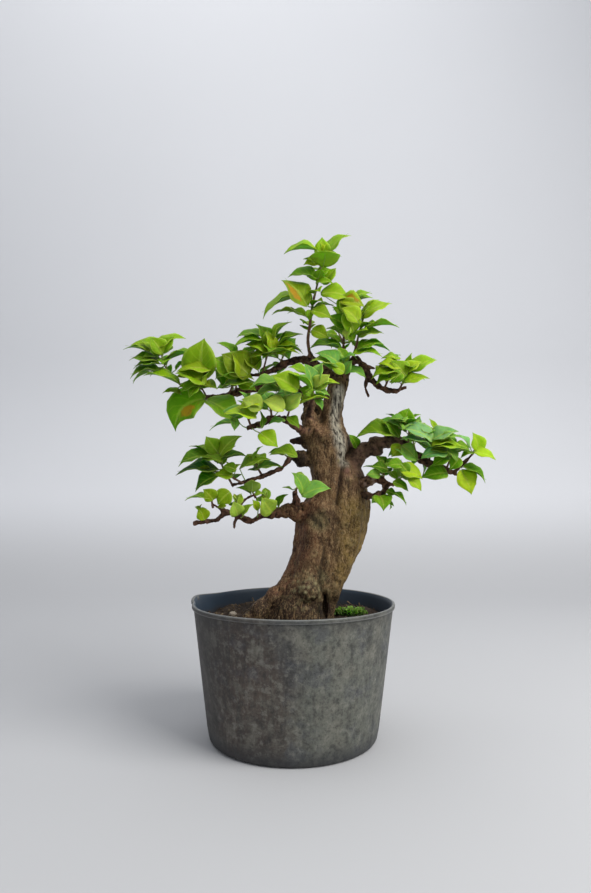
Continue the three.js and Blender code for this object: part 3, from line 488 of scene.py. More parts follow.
bpy.ops.mesh.select_all(action="SELECT")
bpy.ops.mesh.region_to_loop()
radius = SOIL_EDGE
for height in (104.0, 60.0, 12.0, 2.8):
    next_radius = wall_at(height) - WALL - CLEARANCE - max(0.0, 8 - height)
    share = next_radius / radius
    bpy.ops.mesh.extrude_edges_move()
    bpy.ops.transform.resize(value=(share, share, 0), center_override=(0, 0, MM * height))
    radius = next_radius
bpy.ops.mesh.edge_face_add()
bpy.ops.mesh.select_all(action="SELECT")
bpy.ops.mesh.normals_make_consistent(inside=False)
bpy.ops.object.mode_set(mode="OBJECT")
bpy.ops.object.shade_smooth()

# Loose crumbs and straw lie on the top, each a copy of one rough lump or one broken stalk.
CRUMBS = 420
STRAWS = 34
NOISE_SEED = 7
CLEAR_OF_TRUNK = {"at": (6, -1), "reach": (40, 30)}
noise.seed_set(NOISE_SEED)  # noise_vector would otherwise start from the clock
bpy.ops.mesh.primitive_ico_sphere_add(subdivisions=1, radius=1, location=(0, 0, 0))
crumb = bpy.context.object
bpy.ops.mesh.primitive_cylinder_add(vertices=5, radius=0.05, depth=2, location=(0, 0, 0))
straw = bpy.context.object
strewn = bmesh.new()
strewn_dry = strewn.verts.layers.float.new("dry")
chance = draws(31)


def strew(model, spot, size, turn, tilt, dry):
    """Lays one copy of a model on the soil, with its vertices jogged so that no two are alike."""
    grow = Vector(size)
    made = []
    for vertex in model.data.vertices:
        corner = vertex.co.copy()
        jog = noise.noise_vector(corner * 3 + spot) * 0.45
        corner = Vector([(c + j) * g for c, j, g in zip(corner, jog, grow)])
        corner.rotate(tilt)
        corner.rotate(turn)
        made.append(strewn.verts.new((corner + spot) * MM))
        made[-1][strewn_dry] = dry
    for polygon in model.data.polygons:
        strewn.faces.new([made[v] for v in polygon.vertices])


for number in range(CRUMBS + STRAWS):
    turn_angle = 2 * math.pi * next(chance)
    reach = SOIL_EDGE * math.sqrt(0.08 + 0.86 * next(chance))
    x, y = reach * math.cos(turn_angle), reach * math.sin(turn_angle)
    inner = ((x - CLEAR_OF_TRUNK["at"][0]) / CLEAR_OF_TRUNK["reach"][0]) ** 2
    inner += ((y - CLEAR_OF_TRUNK["at"][1]) / CLEAR_OF_TRUNK["reach"][1]) ** 2
    turn = Vector((0, 0, 1)).rotation_difference(Vector((math.cos(9 * reach), math.sin(9 * reach), 0.0)))
    is_straw = number >= CRUMBS
    left = max(0.0, min(1.0, (10 - x) / 70))
    size = 0.7 + 2.1 * next(chance) ** 2.5
    stretch = (size, size * (0.6 + 0.4 * next(chance)), size * 0.7)
    tilt = Vector((0, 0, 1)).rotation_difference(Vector((next(chance) - 0.5, next(chance) - 0.5, 1)))
    dry = next(chance) * (0.35 + 0.65 * left)
    if is_straw:
        stretch = (6, 6, 2.5 + 5 * next(chance))
        tilt = Vector((0, 0, 1)).rotation_difference(Vector((1, 0, 0.25 * next(chance))))
        dry = 0.8 + 0.2 * left
    if inner > 1:
        spot = Vector((x, y, soil_height(x, y) + (1.4 if is_straw else 0.9)))
        strew(straw if is_straw else crumb, spot, stretch, turn, tilt, dry)
for model in (crumb, straw):
    bpy.data.objects.remove(model)
select_only(soil, piece_of(strewn, "strewn"))
bpy.ops.object.join()

earth = Finish("crumbly_soil", Specular_IOR_Level=0.25)
lumps = earth.noise(110.0, 5.0, 0.65)
fibres = earth.noise(600.0, 4.0, 0.7)
flecks = earth.cells(520.0)
patch = earth.noise(26.0, 3.0)
left = earth.step(earth.axis("X") + (patch - 0.5) * 0.08, 0.01, -0.06)
dry = earth.named("dry")
colour = earth.layers(
    earth.blend(lumps, (0.012, 0.008, 0.006), (0.050, 0.033, 0.023)),
    (left * earth.step(lumps, 0.45, 0.70) * 0.7, (0.115, 0.082, 0.055)),
    (earth.step(fibres, 0.56, 0.72) * 0.6, (0.100, 0.070, 0.047)),
    (earth.step(flecks, 0.20, 0.10) * earth.step(patch, 0.5, 0.6) * 0.7, (0.20, 0.17, 0.13)),
    (dry * 0.85, (0.21, 0.155, 0.095)),
)
soil.data.materials.append(earth.paint(colour, 0.95, lumps * 0.5 + fibres * 0.5, 0.8))
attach(soil, "root")
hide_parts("soil")

# ---- The trunk, roots and arms ----
# One old piece of bougainvillea wood. Strands that ran together make the leaning trunk. Hard pruning left
# gnarled dark arms, a strip of grey dead wood at the upper right and knobs where branches were cut away.

# The trunk's sections from the buried stump to the broken top: (height, left, right, front, back).
TRUNK = [
    (58, -8, 14, -10, 10),
    (84, -20, 30, -21, 21),
    (106, -29, 41, -27, 26),
    (118, -29, 42, -27, 26),
    (130, -23, 44, -26, 26),
    (141, -17, 50, -26, 25),
    (151, -11, 55, -25, 25),
    (166, -4, 62, -25, 26),
    (181, 0, 69, -25, 27),
    (196, 2, 73, -26, 28),
    (211, 3, 76, -27, 29),
    (226, 9, 77, -26, 29),
    (242, 17, 73, -25, 28),
    (257, 16, 69, -23, 26),
    (273, 14, 63, -21, 24),
    (288, 12, 58, -19, 22),
    (303, 19, 51, -14, 20),
    (319, 27, 49, -9, 18),
    (335, 32, 53, -7, 16),
    (350, 38, 57, -4, 14),
    (360, 43, 57, 0, 10),
]
FLUTES = {"sides": 96, "count": 5, "depth": 0.05, "twist": 42.0}
STRANDS = {"count": 13, "depth": 0.012}
TRUNK_STEP = 2.5
# Each limb is a row of (x, y, z, radius) points.
ARMS = {
    "root_left": [(-57, -12, 98, 4), (-46, -10, 110, 7), (-34, -8, 120, 9.5), (-20, -6, 132, 9),
        (-4, -4, 147, 9.5), (8, -3, 168, 9)],
    "stub": [(22, 2, 284, 12), (17, -2, 300, 9), (15, -4, 313, 7.5), (15.5, -4, 323, 7),
        (16, -4, 329, 5.5)],
    "low_left": [(14, -6, 213, 12), (2, -10, 217, 8.5), (-6, -14, 218, 6.5), (-14, -17, 217, 5),
        (-21, -20, 215, 4), (-30, -24, 214, 3.3), (-40, -27, 209, 3), (-49, -30, 212, 2.7),
        (-63, -33, 217, 2.5), (-72, -34, 211, 2.3), (-83, -37, 209, 2.1), (-94, -40, 207, 1.9)],
    "low_spur": [(1, -12, 217, 5), (3, -17, 227, 4), (2, -21, 234, 3.2), (3, -23, 238, 2)],
    "low_twig_left": [(-62, -33, 216, 2.2), (-69, -36, 221, 1.7), (-76, -40, 225, 1.4)],
    "low_twig_right": [(-50, -29, 212, 2.2), (-51, -23, 224, 1.7), (-45, -18, 231, 1.6),
        (-38, -15, 234, 1.4)],
    "low_drop": [(-53, -31, 213, 2.2), (-56, -32, 206, 1.6), (-56, -33, 202, 1)],
    "mid_left": [(26, 0, 268, 9), (12, -4, 270, 8.5), (5, -6, 271, 6.5), (0, -9, 271, 4),
        (-5, -12, 268, 3), (-11, -15, 261, 2.6), (-23, -20, 255, 2.4), (-36, -24, 250, 2.1),
        (-49, -28, 246, 1.9), (-60, -28, 243, 1.5)],
    "knob_left": [(20, 0, 291, 8), (6, -3, 289, 5), (0, -5, 288, 4), (-2, -5, 286, 3)],
    "front_arm": [(18, -4, 296, 8), (9, -14, 298, 5.5), (2, -23, 301, 4.4), (-7, -34, 306, 3.6),
        (-19, -44, 306, 3), (-32, -50, 299, 2.8), (-43, -56, 296, 2.4)],
    "front_twig": [(16, -8, 304, 4.5), (15, -18, 312, 3), (17, -30, 322, 2.3), (19, -38, 332, 1.8)],
    "top_left": [(45, 5, 344, 7), (35, 12, 360, 5.5), (22, 17, 371, 5), (8, 18, 376, 4.6),
        (-8, 20, 372, 4.2), (-18, 22, 367, 3.9), (-33, 22, 361, 3), (-46, 20, 359, 2.2)],
    "long_left": [(36, 8, 312, 9), (22, 19, 332, 7), (7, 30, 343, 6), (-10, 36, 349, 5.4),
        (-25, 38, 351, 5), (-44, 40, 348, 4.4), (-68, 38, 342, 3.6), (-88, 35, 338, 2.8),
        (-106, 32, 339, 1.9)],
    "top_right": [(50, 4, 350, 6), (56, 2, 365, 4.6), (65, 0, 371, 4.2), (72, -4, 362, 3.8),
        (79, -8, 350, 3.5), (92, -10, 339, 3.1), (101, -8, 338, 2.7), (114, -6, 342, 1.9)],
    "top_right_stub": [(54, 0, 366, 3), (58, -2, 368, 2.8), (64, -4, 371, 2.5), (69, -8, 366, 2.2),
        (76, -10, 362, 1.8), (82, -11, 360, 1.1)],
    "top_right_drop": [(75, -6, 354, 3), (73, -6, 341, 2), (76, -7, 332, 1.4)],
    "leader_foot": [(24, 16, 370, 4), (18, 10, 376, 3), (17, 7, 381, 2.6)],
    "crown_foot": [(50, 3, 354, 5), (51, 5, 366, 3), (51, 6, 371, 2.4)],
    "fork_foot": [(54, 3, 358, 4), (60, 0, 370, 2.8), (61, -1, 374, 2.2)],
    "right_arm": [(52, 2, 258, 14), (63, -1, 270, 11.5), (73, -4, 279, 9.5), (84, -6, 284, 8),
        (96, -10, 287, 6.5), (104, -13, 287, 5.6), (112, -16, 281, 5), (121, -18, 272, 4.6),
        (132, -20, 265, 4.1), (144, -20, 260, 3.5), (160, -18, 254, 2.6)],
    "right_twig": [(157, -18, 255, 2.4), (165, -18, 263, 2), (173, -20, 271, 1.6),
        (176, -21, 275, 1.4)],
    "loop": [(62, -8, 242, 8), (70, -16, 247, 5), (79, -23, 249.5, 4.2), (87, -26, 246, 3.9),
        (89, -28, 240, 3.8), (83, -28, 233.5, 3.6), (74, -23, 233, 3.4), (66, -14, 235, 3.4)],
    "loop_twig": [(87, -25, 246, 2.8), (92, -28, 244, 2.3), (97, -30, 244, 1.9)],
    "back_arm": [(38, 10, 296, 8), (40, 30, 308, 5.6), (38, 48, 317, 4), (34, 64, 321, 2.8),
        (30, 72, 322, 2)],
}
ROOTS = {
    "left": [(-34, -8, 116, 8), (-54, -14, 98, 6), (-60, -14, 56, 3)],
    "front": [(2, -12, 104, 10), (-18, -40, 96, 7), (-24, -52, 58, 3)],
    "back_left": [(-8, 12, 104, 10), (-36, 36, 96, 6.5), (-46, 48, 56, 3)],
    "back_right": [(22, 14, 104, 10), (46, 38, 96, 6.5), (56, 50, 54, 3)],
    "right": [(30, -4, 104, 8), (52, -12, 90, 5), (56, -10, 50, 3)],
}
HOLLOW = {"at": (31, -22, 124), "size": (2.8, 11, 14)}  # the dark gap beside the thin right-hand root
BURL = {"at": (14, -22, 142), "size": (11, 8, 11)}
VOXEL = 1.14
ARM_STEP = 1.6
ROOT_STEP = 4.0
KNOBS = {"arm": 0.42, "root_left": 0.1, "buried": 0.12}
SHARE_LEAST = 1e-9


class Route:
    """A smooth line through points, bent as a centripetal Catmull-Rom spline. t runs from 0 to 1."""

    def __init__(self, points):
        self.points = np.array([p[:3] for p in points], float)
        self.values = np.array([p[3] if len(p) > 3 else 0.0 for p in points], float)
        samples = np.array([self.at(t) for t in np.linspace(0, 1, 201)])
        spans = np.linalg.norm(np.diff(samples, axis=0), axis=1)
        self.lengths = np.concatenate([[0.0], np.cumsum(spans)])

    def at(self, t):
        points, last = self.points, len(self.points) - 1
        k = min(int(t * last), last - 1)
        w = t * last - k
        before = points[k - 1] if k > 0 else 2 * points[0] - points[1]
        after = points[k + 2] if k + 2 <= last else 2 * points[last] - points[last - 1]
        row = [before, points[k], points[k + 1], after]
        gaps = [max(np.linalg.norm(b - a) ** 0.5, SHARE_LEAST) for a, b in zip(row, row[1:])]
        start = (row[1] - row[0]) / gaps[0] - (row[2] - row[0]) / (gaps[0] + gaps[1])
        start = (start + (row[2] - row[1]) / gaps[1]) * gaps[1]
        end = (row[2] - row[1]) / gaps[1] - (row[3] - row[1]) / (gaps[1] + gaps[2])
        end = (end + (row[3] - row[2]) / gaps[2]) * gaps[1]
        cubic = 2 * row[1] - 2 * row[2] + start + end
        square = 3 * (row[2] - row[1]) - 2 * start - end
        return row[1] + start * w + square * w ** 2 + cubic * w ** 3

    def heading(self, t):
        reach = 0.0001
        step = self.at(min(t + reach, 1.0)) - self.at(max(t - reach, 0.0))
        return step / np.linalg.norm(step)

    def even(self, share):
        """The t at a share of the whole length."""
        return float(np.interp(share * self.lengths[-1], self.lengths, np.linspace(0, 1, 201)))

    def radius(self, t):
        return float(np.interp(t * (len(self.values) - 1), range(len(self.values)), self.values))


def tubes(name, lines, resolution=3):
    """One mesh of round tubes, each along a row of (point, radius) in millimetres."""
    curve = bpy.data.curves.new(name, "CURVE")
    curve.dimensions = "3D"
    curve.bevel_depth = MM
    curve.bevel_resolution = resolution
    curve.use_fill_caps = True
    for line in lines:
        spline = curve.splines.new("POLY")
        spline.points.add(len(line) - 1)
        for knot, (place, radius) in zip(spline.points, line):
            knot.co = (*[MM * c for c in place], 1)
            knot.radius = radius
    piece = bpy.data.objects.new(name, curve)
    bpy.context.collection.objects.link(piece)
    select_only(piece)
    bpy.ops.object.convert(target="MESH")
    return bpy.context.object


def gnarled(points, step, knobs):
    """Points every step millimetres along a limb, swollen at its knuckles and knocked a little aside."""
    route = Route(points)
    count = max(4, int(route.lengths[-1] / step))
    line = []
    for share in np.linspace(0, 1, count):
        t = route.even(share)
        place, radius = route.at(t), route.radius(t)
        spot = Vector(place)
        swell = 1 + knobs * (noise.noise(spot / 7) + 0.7 * noise.noise(spot / 3.1 + Vector((9, 0, 0))))
        aside = np.array(noise.noise_vector(spot / 9)) * 0.28 * radius
        line.append((place + aside, radius * swell))
    return line


# The trunk's sections are drawn out ring by ring.
sections = Route([(left, right, z) for z, left, right, _, _ in TRUNK])
depths = Route([(front, back, z) for z, _, _, front, back in TRUNK])
rings = int((TRUNK[-1][0] - TRUNK[0][0]) / TRUNK_STEP)
trunk_mesh = bmesh.new()
previous = None
for number in range(rings + 1):
    t = number / rings
    left, right, z = sections.at(t)
    front, back, _ = depths.at(t)
    ring = []
    for corner in range(FLUTES["sides"]):
        turn = 2 * math.pi * corner / FLUTES["sides"]
        flute = math.cos(FLUTES["count"] * turn + z / FLUTES["twist"]) - 0.4
        strand = math.cos(STRANDS["count"] * turn + z / 11 + 2 * math.sin(z / 37))
        swell = 1 + FLUTES["depth"] * flute + STRANDS["depth"] * strand
        x = (left + right) / 2 + (right - left) / 2 * swell * math.cos(turn)
        y = (front + back) / 2 + (back - front) / 2 * swell * math.sin(turn)
        ring.append(trunk_mesh.verts.new((MM * x, MM * y, MM * z)))
    if previous is None:
        trunk_mesh.faces.new(list(reversed(ring)))
    else:
        for corner in range(len(ring)):
            beside = (corner + 1) % len(ring)
            trunk_mesh.faces.new([previous[corner], previous[beside], ring[beside], ring[corner]])
    previous = ring
trunk_mesh.faces.new(previous)
trunk = piece_of(trunk_mesh, "trunk")


def pebble(name, at, size, subdivisions=3):
    """A round lump at a place, in millimetres."""
    bpy.ops.object.select_all(action="DESELECT")
    bpy.ops.mesh.primitive_ico_sphere_add(
        subdivisions=subdivisions, radius=1, location=[MM * c for c in at], scale=[MM * s for s in size]
    )
    lump = bpy.context.object
    lump.name = name
    bpy.ops.object.transform_apply(location=True, rotation=True, scale=True)
    return lump


cut_away(trunk, [pebble("hollow", **HOLLOW)])
limb_lines = [gnarled(row, ARM_STEP, KNOBS.get(name, KNOBS["arm"])) for name, row in ARMS.items()]
limbs = tubes("limbs", limb_lines)
roots = tubes("roots", [gnarled(row, ROOT_STEP, KNOBS["buried"]) for row in ROOTS.values()])
burl = pebble("burl", **BURL)
select_only(trunk, limbs, roots, burl)
bpy.ops.object.join()
wood = bpy.context.object
wood.name = "grown_wood"
modified(wood, "REMESH", mode="VOXEL", voxel_size=MM * VOXEL)
modified(wood, "SMOOTH", factor=0.5, iterations=2)

# Bark relief. FORMS are the swellings and folds on the trunk's front: lines of (x, z) with a width and a
# height, which is below zero for a fold. KNOTS are healed pruning scars: a centre, a size and a ring height.
FORMS = {
    "callus_lobe": ([(18, 324), (18, 309), (22, 298), (30, 291), (36, 292)], 4.6, 4.2),
    "niche": ([(28, 320), (27, 309)], 4.6, -3.8),
    "shadow_slot": ([(38, 334), (37, 316)], 4.2, -3.2),
    "dead_ridge": ([(48, 333), (49, 313), (51, 293), (53, 279)], 5.0, 1.6),
    "crotch": ([(61, 286), (57, 278), (50, 266), (46, 257), (44, 243), (41, 226)], 3.0, -3.8),
    "crotch_knot": ([(51, 263), (53, 257)], 2.6, 2.4),
    "right_shoulder": ([(63, 250), (64, 225), (60, 198)], 8.0, 1.8),
    "collar": ([(-2, 219), (12, 223), (25, 222)], 6.5, 3.6),
    "collar_crease": ([(9, 231), (19, 223), (28, 213), (33, 199), (34, 185)], 1.8, -1.2),
    "collar_hollow": ([(16, 214), (25, 206)], 6.0, -1.6),
    "waist": ([(3, 188), (20, 186), (36, 190)], 2.4, -0.9),
    "furrow": ([(30, 184), (27, 165), (25, 152), (28, 141), (32, 130), (33, 116)], 2.8, -2.4),
    "finger_root": ([(40, 146), (42, 134), (45, 116)], 3.2, 2.2),
    "finger_arch": ([(34, 147), (39, 151), (44, 149)], 1.8, -1.4),
}
KNOTS = [((62, -20, 216), 2.6, 1.2), ((57, -23, 188), 3.0, 1.6), ((35, -27, 172), 2.2, 1.2),
         ((50, -25, 205), 2.0, 0.9), ((12, -20, 262), 2.4, 1.0), ((30, -26, 240), 2.4, 0.8),
         ((20, -24, 178), 2.2, 0.8), ((44, -24, 160), 2.0, 1.0), ((40, 28, 205), 4.5, 1.6)]
DEAD_STRIP = [(47, -7, 338), (44, -13, 315), (47, -19, 293), (51, -23, 278), (51, -26, 268)]
DEAD_REACH = 8.5


def gap_to_line(place, line):
    """The distance from a point to a row of joined points."""
    nearest = math.inf
    for start, end in zip(line, line[1:]):
        span = [b - a for a, b in zip(start, end)]
        reach = sum(s * s for s in span)
        share = sum((p - a) * s for p, a, s in zip(place, start, span)) / reach
        share = max(0.0, min(1.0, share))
        nearest = min(nearest, math.dist(place, [a + share * s for a, s in zip(start, span)]))
    return nearest


def bark_relief(spot, facing, thick):
    """How far bark stands out at a spot, then shares from 0 to 1: cracks given painted shade, pale bark
    (worn, with a painted highlight on raised parts), dead wood and warts.
    """
    x, y, z = spot
    stout = min(1.0, max(0.0, (thick - 9) / 22))
    slim = (1 - stout) * min(1.0, thick / 5)
    grain = noise.fractal(Vector((x / 2.6 + z / 45, y / 2.6, z / 15)), 0.9, 2.1, 4)
    bumps = noise.noise(spot / 4.4) + 0.5 * noise.noise(spot / 2.1)
    lumps = noise.noise(spot / 15) + 0.45 * noise.noise(spot / 8)
    gnarl = noise.noise(spot / 3.6 + Vector((3, 1, 7))) + 0.7 * noise.noise(spot / 1.8)
    out = stout * (0.34 * grain + 0.42 * bumps + 1.15 * lumps) + slim * 0.85 * gnarl
    crack = stout * max(0.0, -0.9 * grain - 0.25) + slim * max(0.0, -1.5 * gnarl)
    pale = stout * max(0.0, 0.8 * bumps - 0.25) + slim * max(0.0, 1.2 * gnarl - 0.1)
    front = stout * min(1.0, max(0.0, -0.1 - facing) / 0.3)
    if front > 0:
        for line, width, height in FORMS.values():
            form = math.exp(-(gap_to_line((x, z), line) / width) ** 2)
            out += height * form * front
            # Deep folds get painted shade as well as their relief.
            if height < -1.5:
                crack = max(crack, front * (form - 0.45) * 1.1)
    dead = math.exp(-(gap_to_line((x, y, z), DEAD_STRIP) / DEAD_REACH) ** 4)
    if dead > 0.05:
        splinter = noise.noise(Vector((x / 1.4, y / 1.4, z / 22))) + 0.4 * noise.noise(spot / 2.4)
        out += dead * (1.1 * splinter + 0.3)
        crack = crack * (1 - dead) + dead * max(0.0, -2.4 * splinter - 0.2)
        pale = max(pale * (1 - dead), dead * max(0.0, 1.6 * splinter))
    warts = math.exp(-(math.dist(spot, BURL["at"]) / 19) ** 2) * (1 - max(0.0, facing))
    if warts > 0.05:
        wart = 0.6 - noise.voronoi(spot / 4.6)[0][0]
        out += warts * (2.3 * wart + 0.7 * noise.noise(spot / 2.0))
        crack = max(crack, warts * max(0.0, -2.6 * wart))
        pale = max(pale, warts * max(0.0, 2.4 * wart - 0.2))
    for at, size, height in KNOTS:
        gap = math.dist(spot, at) / size * (1 + 0.35 * noise.noise(spot / 2.2))
        if gap < 3:
            ring = math.exp(-((gap - 1.15) / 0.5) ** 2)
            pit = math.exp(-(gap / 0.6) ** 2)
            out += height * (ring - 0.9 * pit)
            crack = max(crack, 0.5 * pit)
            pale = max(pale, 0.5 * ring)
    return out, crack, pale, dead, warts


vertices = wood.data.vertices
surface = BVHTree.FromPolygons([v.co for v in vertices], [p.vertices for p in wood.data.polygons])
moved = []
marks = {"crack": [], "pale": [], "dead": [], "wart": [], "stout": []}
for vertex in vertices:
    normal = vertex.normal
    hit = surface.ray_cast(vertex.co - normal * MM * 0.2, -normal)
    thick = hit[3] / MM if hit[3] is not None else 40.0
    out, *shares = bark_relief(vertex.co / MM, normal.y, thick)
    moved.append(vertex.co + normal * MM * max(-0.3 * thick, out))
    for row, share in zip(marks.values(), (*shares, thick / 30)):
        row.append(min(1.0, share))
for vertex, place in zip(vertices, moved):
    vertex.co = place
for name, row in marks.items():
    wood.data.attributes.new(name, "FLOAT", "POINT").data.foreach_set("value", row)
select_only(wood)
bpy.ops.object.shade_smooth()

bark = Finish("old_bark", Specular_IOR_Level=0.18)
x, z = bark.axis("X"), bark.axis("Z")
clouds = bark.noise(42.0, 4.0, 0.6)
patches = bark.noise(95.0, 4.0, 0.6)
grain = bark.noise(1.0, 6.0, 0.70, (420, 420, 110))
fine = bark.noise(1.0, 3.0, 0.7, (900, 900, 500))
crack, pale, dead, wart, stout = (bark.named(name) for name in marks)
lean = x - z * 0.12 + (clouds - 0.5) * 0.030
# The trunk's lower right is ochre bark, lightened as painted light on the side the light falls on.
ochre_and_lit_side = bark.step(lean, 0.010, 0.040) * bark.step(z, 0.288, 0.235)
rust = bark.step(lean, 0.010, -0.014) * bark.step(z, 0.270, 0.200)
thin = bark.step(stout, 0.50, 0.22)
limb = bark.near((82, -6, 281), 20, 40)
grey_speck = bark.step(bark.noise(260.0, 4.0, 0.7), 0.60, 0.70)
dead_wood = bark.layers(
    bark.blend(bark.step(grain, 0.38, 0.60), (0.055, 0.052, 0.044), (0.380, 0.360, 0.290)),
    # Painted shade on the upper part of the dead wood.
    (bark.step(z, 0.300, 0.325) * 0.40, (0.045, 0.047, 0.045)),
    # Pale where the dead wood stands out: weathered, and a painted highlight.
    (pale * 0.8, (0.480, 0.450, 0.360)),
)
colour = bark.layers(
    bark.blend(bark.step(clouds, 0.34, 0.62), (0.060, 0.032, 0.015), (0.142, 0.080, 0.036)),
    (ochre_and_lit_side * 0.85, bark.blend(bark.step(patches, 0.35, 0.62), (0.105, 0.066, 0.015), (0.260, 0.175, 0.045))),
    (rust * 0.90, bark.blend(bark.step(patches, 0.40, 0.62), (0.078, 0.030, 0.015), (0.200, 0.086, 0.044))),
    (bark.near((64, -18, 250), 8, 30) * bark.step(patches, 0.30, 0.55) * 0.7, (0.165, 0.084, 0.058)),
    (bark.near((24, -26, 208), 4, 15) * 0.55, (0.140, 0.140, 0.062)),
    (bark.near((20, -24, 305), 7, 22) * 0.60, (0.220, 0.112, 0.066)),
    # Painted shade in the niche by the callus lobe.
    (bark.near((27, -18, 313), 4, 10) * 0.65, (0.050, 0.035, 0.024)),
    (bark.near((20, -24, 150), 6, 30) * bark.step(patches, 0.40, 0.58) * 0.5, (0.130, 0.125, 0.058)),
    (bark.step(z + (clouds - 0.5) * 0.04, 0.162, 0.128) * 0.86, (0.028, 0.018, 0.012)),
    (grey_speck * stout * 0.40, (0.240, 0.220, 0.140)),
    (bark.step(grain, 0.52, 0.66) * 0.60, (0.350, 0.230, 0.112)),
    (bark.step(grain, 0.49, 0.35) * 0.82, (0.020, 0.012, 0.006)),
    (bark.step(fine, 0.53, 0.66) * 0.45, (0.380, 0.260, 0.135)),
    (bark.step(fine, 0.47, 0.34) * 0.70, (0.014, 0.009, 0.005)),
    (thin * 0.90, bark.blend(bark.step(clouds, 0.4, 0.6), (0.030, 0.015, 0.010), (0.110, 0.050, 0.032))),
    (limb * 0.75, bark.blend(bark.step(patches, 0.38, 0.60), (0.048, 0.027, 0.020), (0.220, 0.125, 0.088))),
    # Pale where the bark stands out: worn, and a painted highlight on the raised bark.
    (pale * 0.50, bark.blend(thin, (0.330, 0.260, 0.120), (0.280, 0.155, 0.105))),
    (wart * pale * 0.80, (0.300, 0.295, 0.160)),
    (dead * 0.92, dead_wood),
    (bark.near((45, -26, 267), 1.5, 5) * 0.8, (0.330, 0.290, 0.045)),
    (bark.near((51, -26, 258), 2, 6) * 0.55, (0.230, 0.110, 0.085)),
    (bark.near((76, -20, 248), 6, 18) * bark.step(pale + grain * 0.4, 0.15, 0.6) * 0.7, (0.30, 0.21, 0.165)),
    # Painted shade, near black, in the cracks, deep folds and scar pits.
    (bark.step(crack, 0.10, 0.80) * 0.88, (0.010, 0.006, 0.003)),
    # Painted shade, near black, in the hollow beside the thin root.
    (bark.near(HOLLOW["at"], 6, 10) * bark.step(z, 0.150, 0.135) * 0.70, (0.008, 0.006, 0.004)),
    # Painted shade, near black, between the left knob and the arm below it.
    (bark.near((3, -6, 287), 6, 11) * 0.8, (0.010, 0.006, 0.004)),
    (bark.near((6, -8, 269), 6, 12) * 0.8, (0.010, 0.006, 0.004)),
)
relief = grain * 0.50 + fine * 0.20 + patches * 0.30
wood.data.materials.append(bark.paint(colour, 0.84 - stout * 0.18, relief, 1.5))
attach(wood, "root")
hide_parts("trunk_and_arms")

# ---- The leafy shoots ----
# Every arm ends in short woody shoots. Their broad leaves stand on slim stalks, fold up a little along the
# midrib, arch over and end in drawn-out tips. The newest leaves, small and pale, crowd round each end.

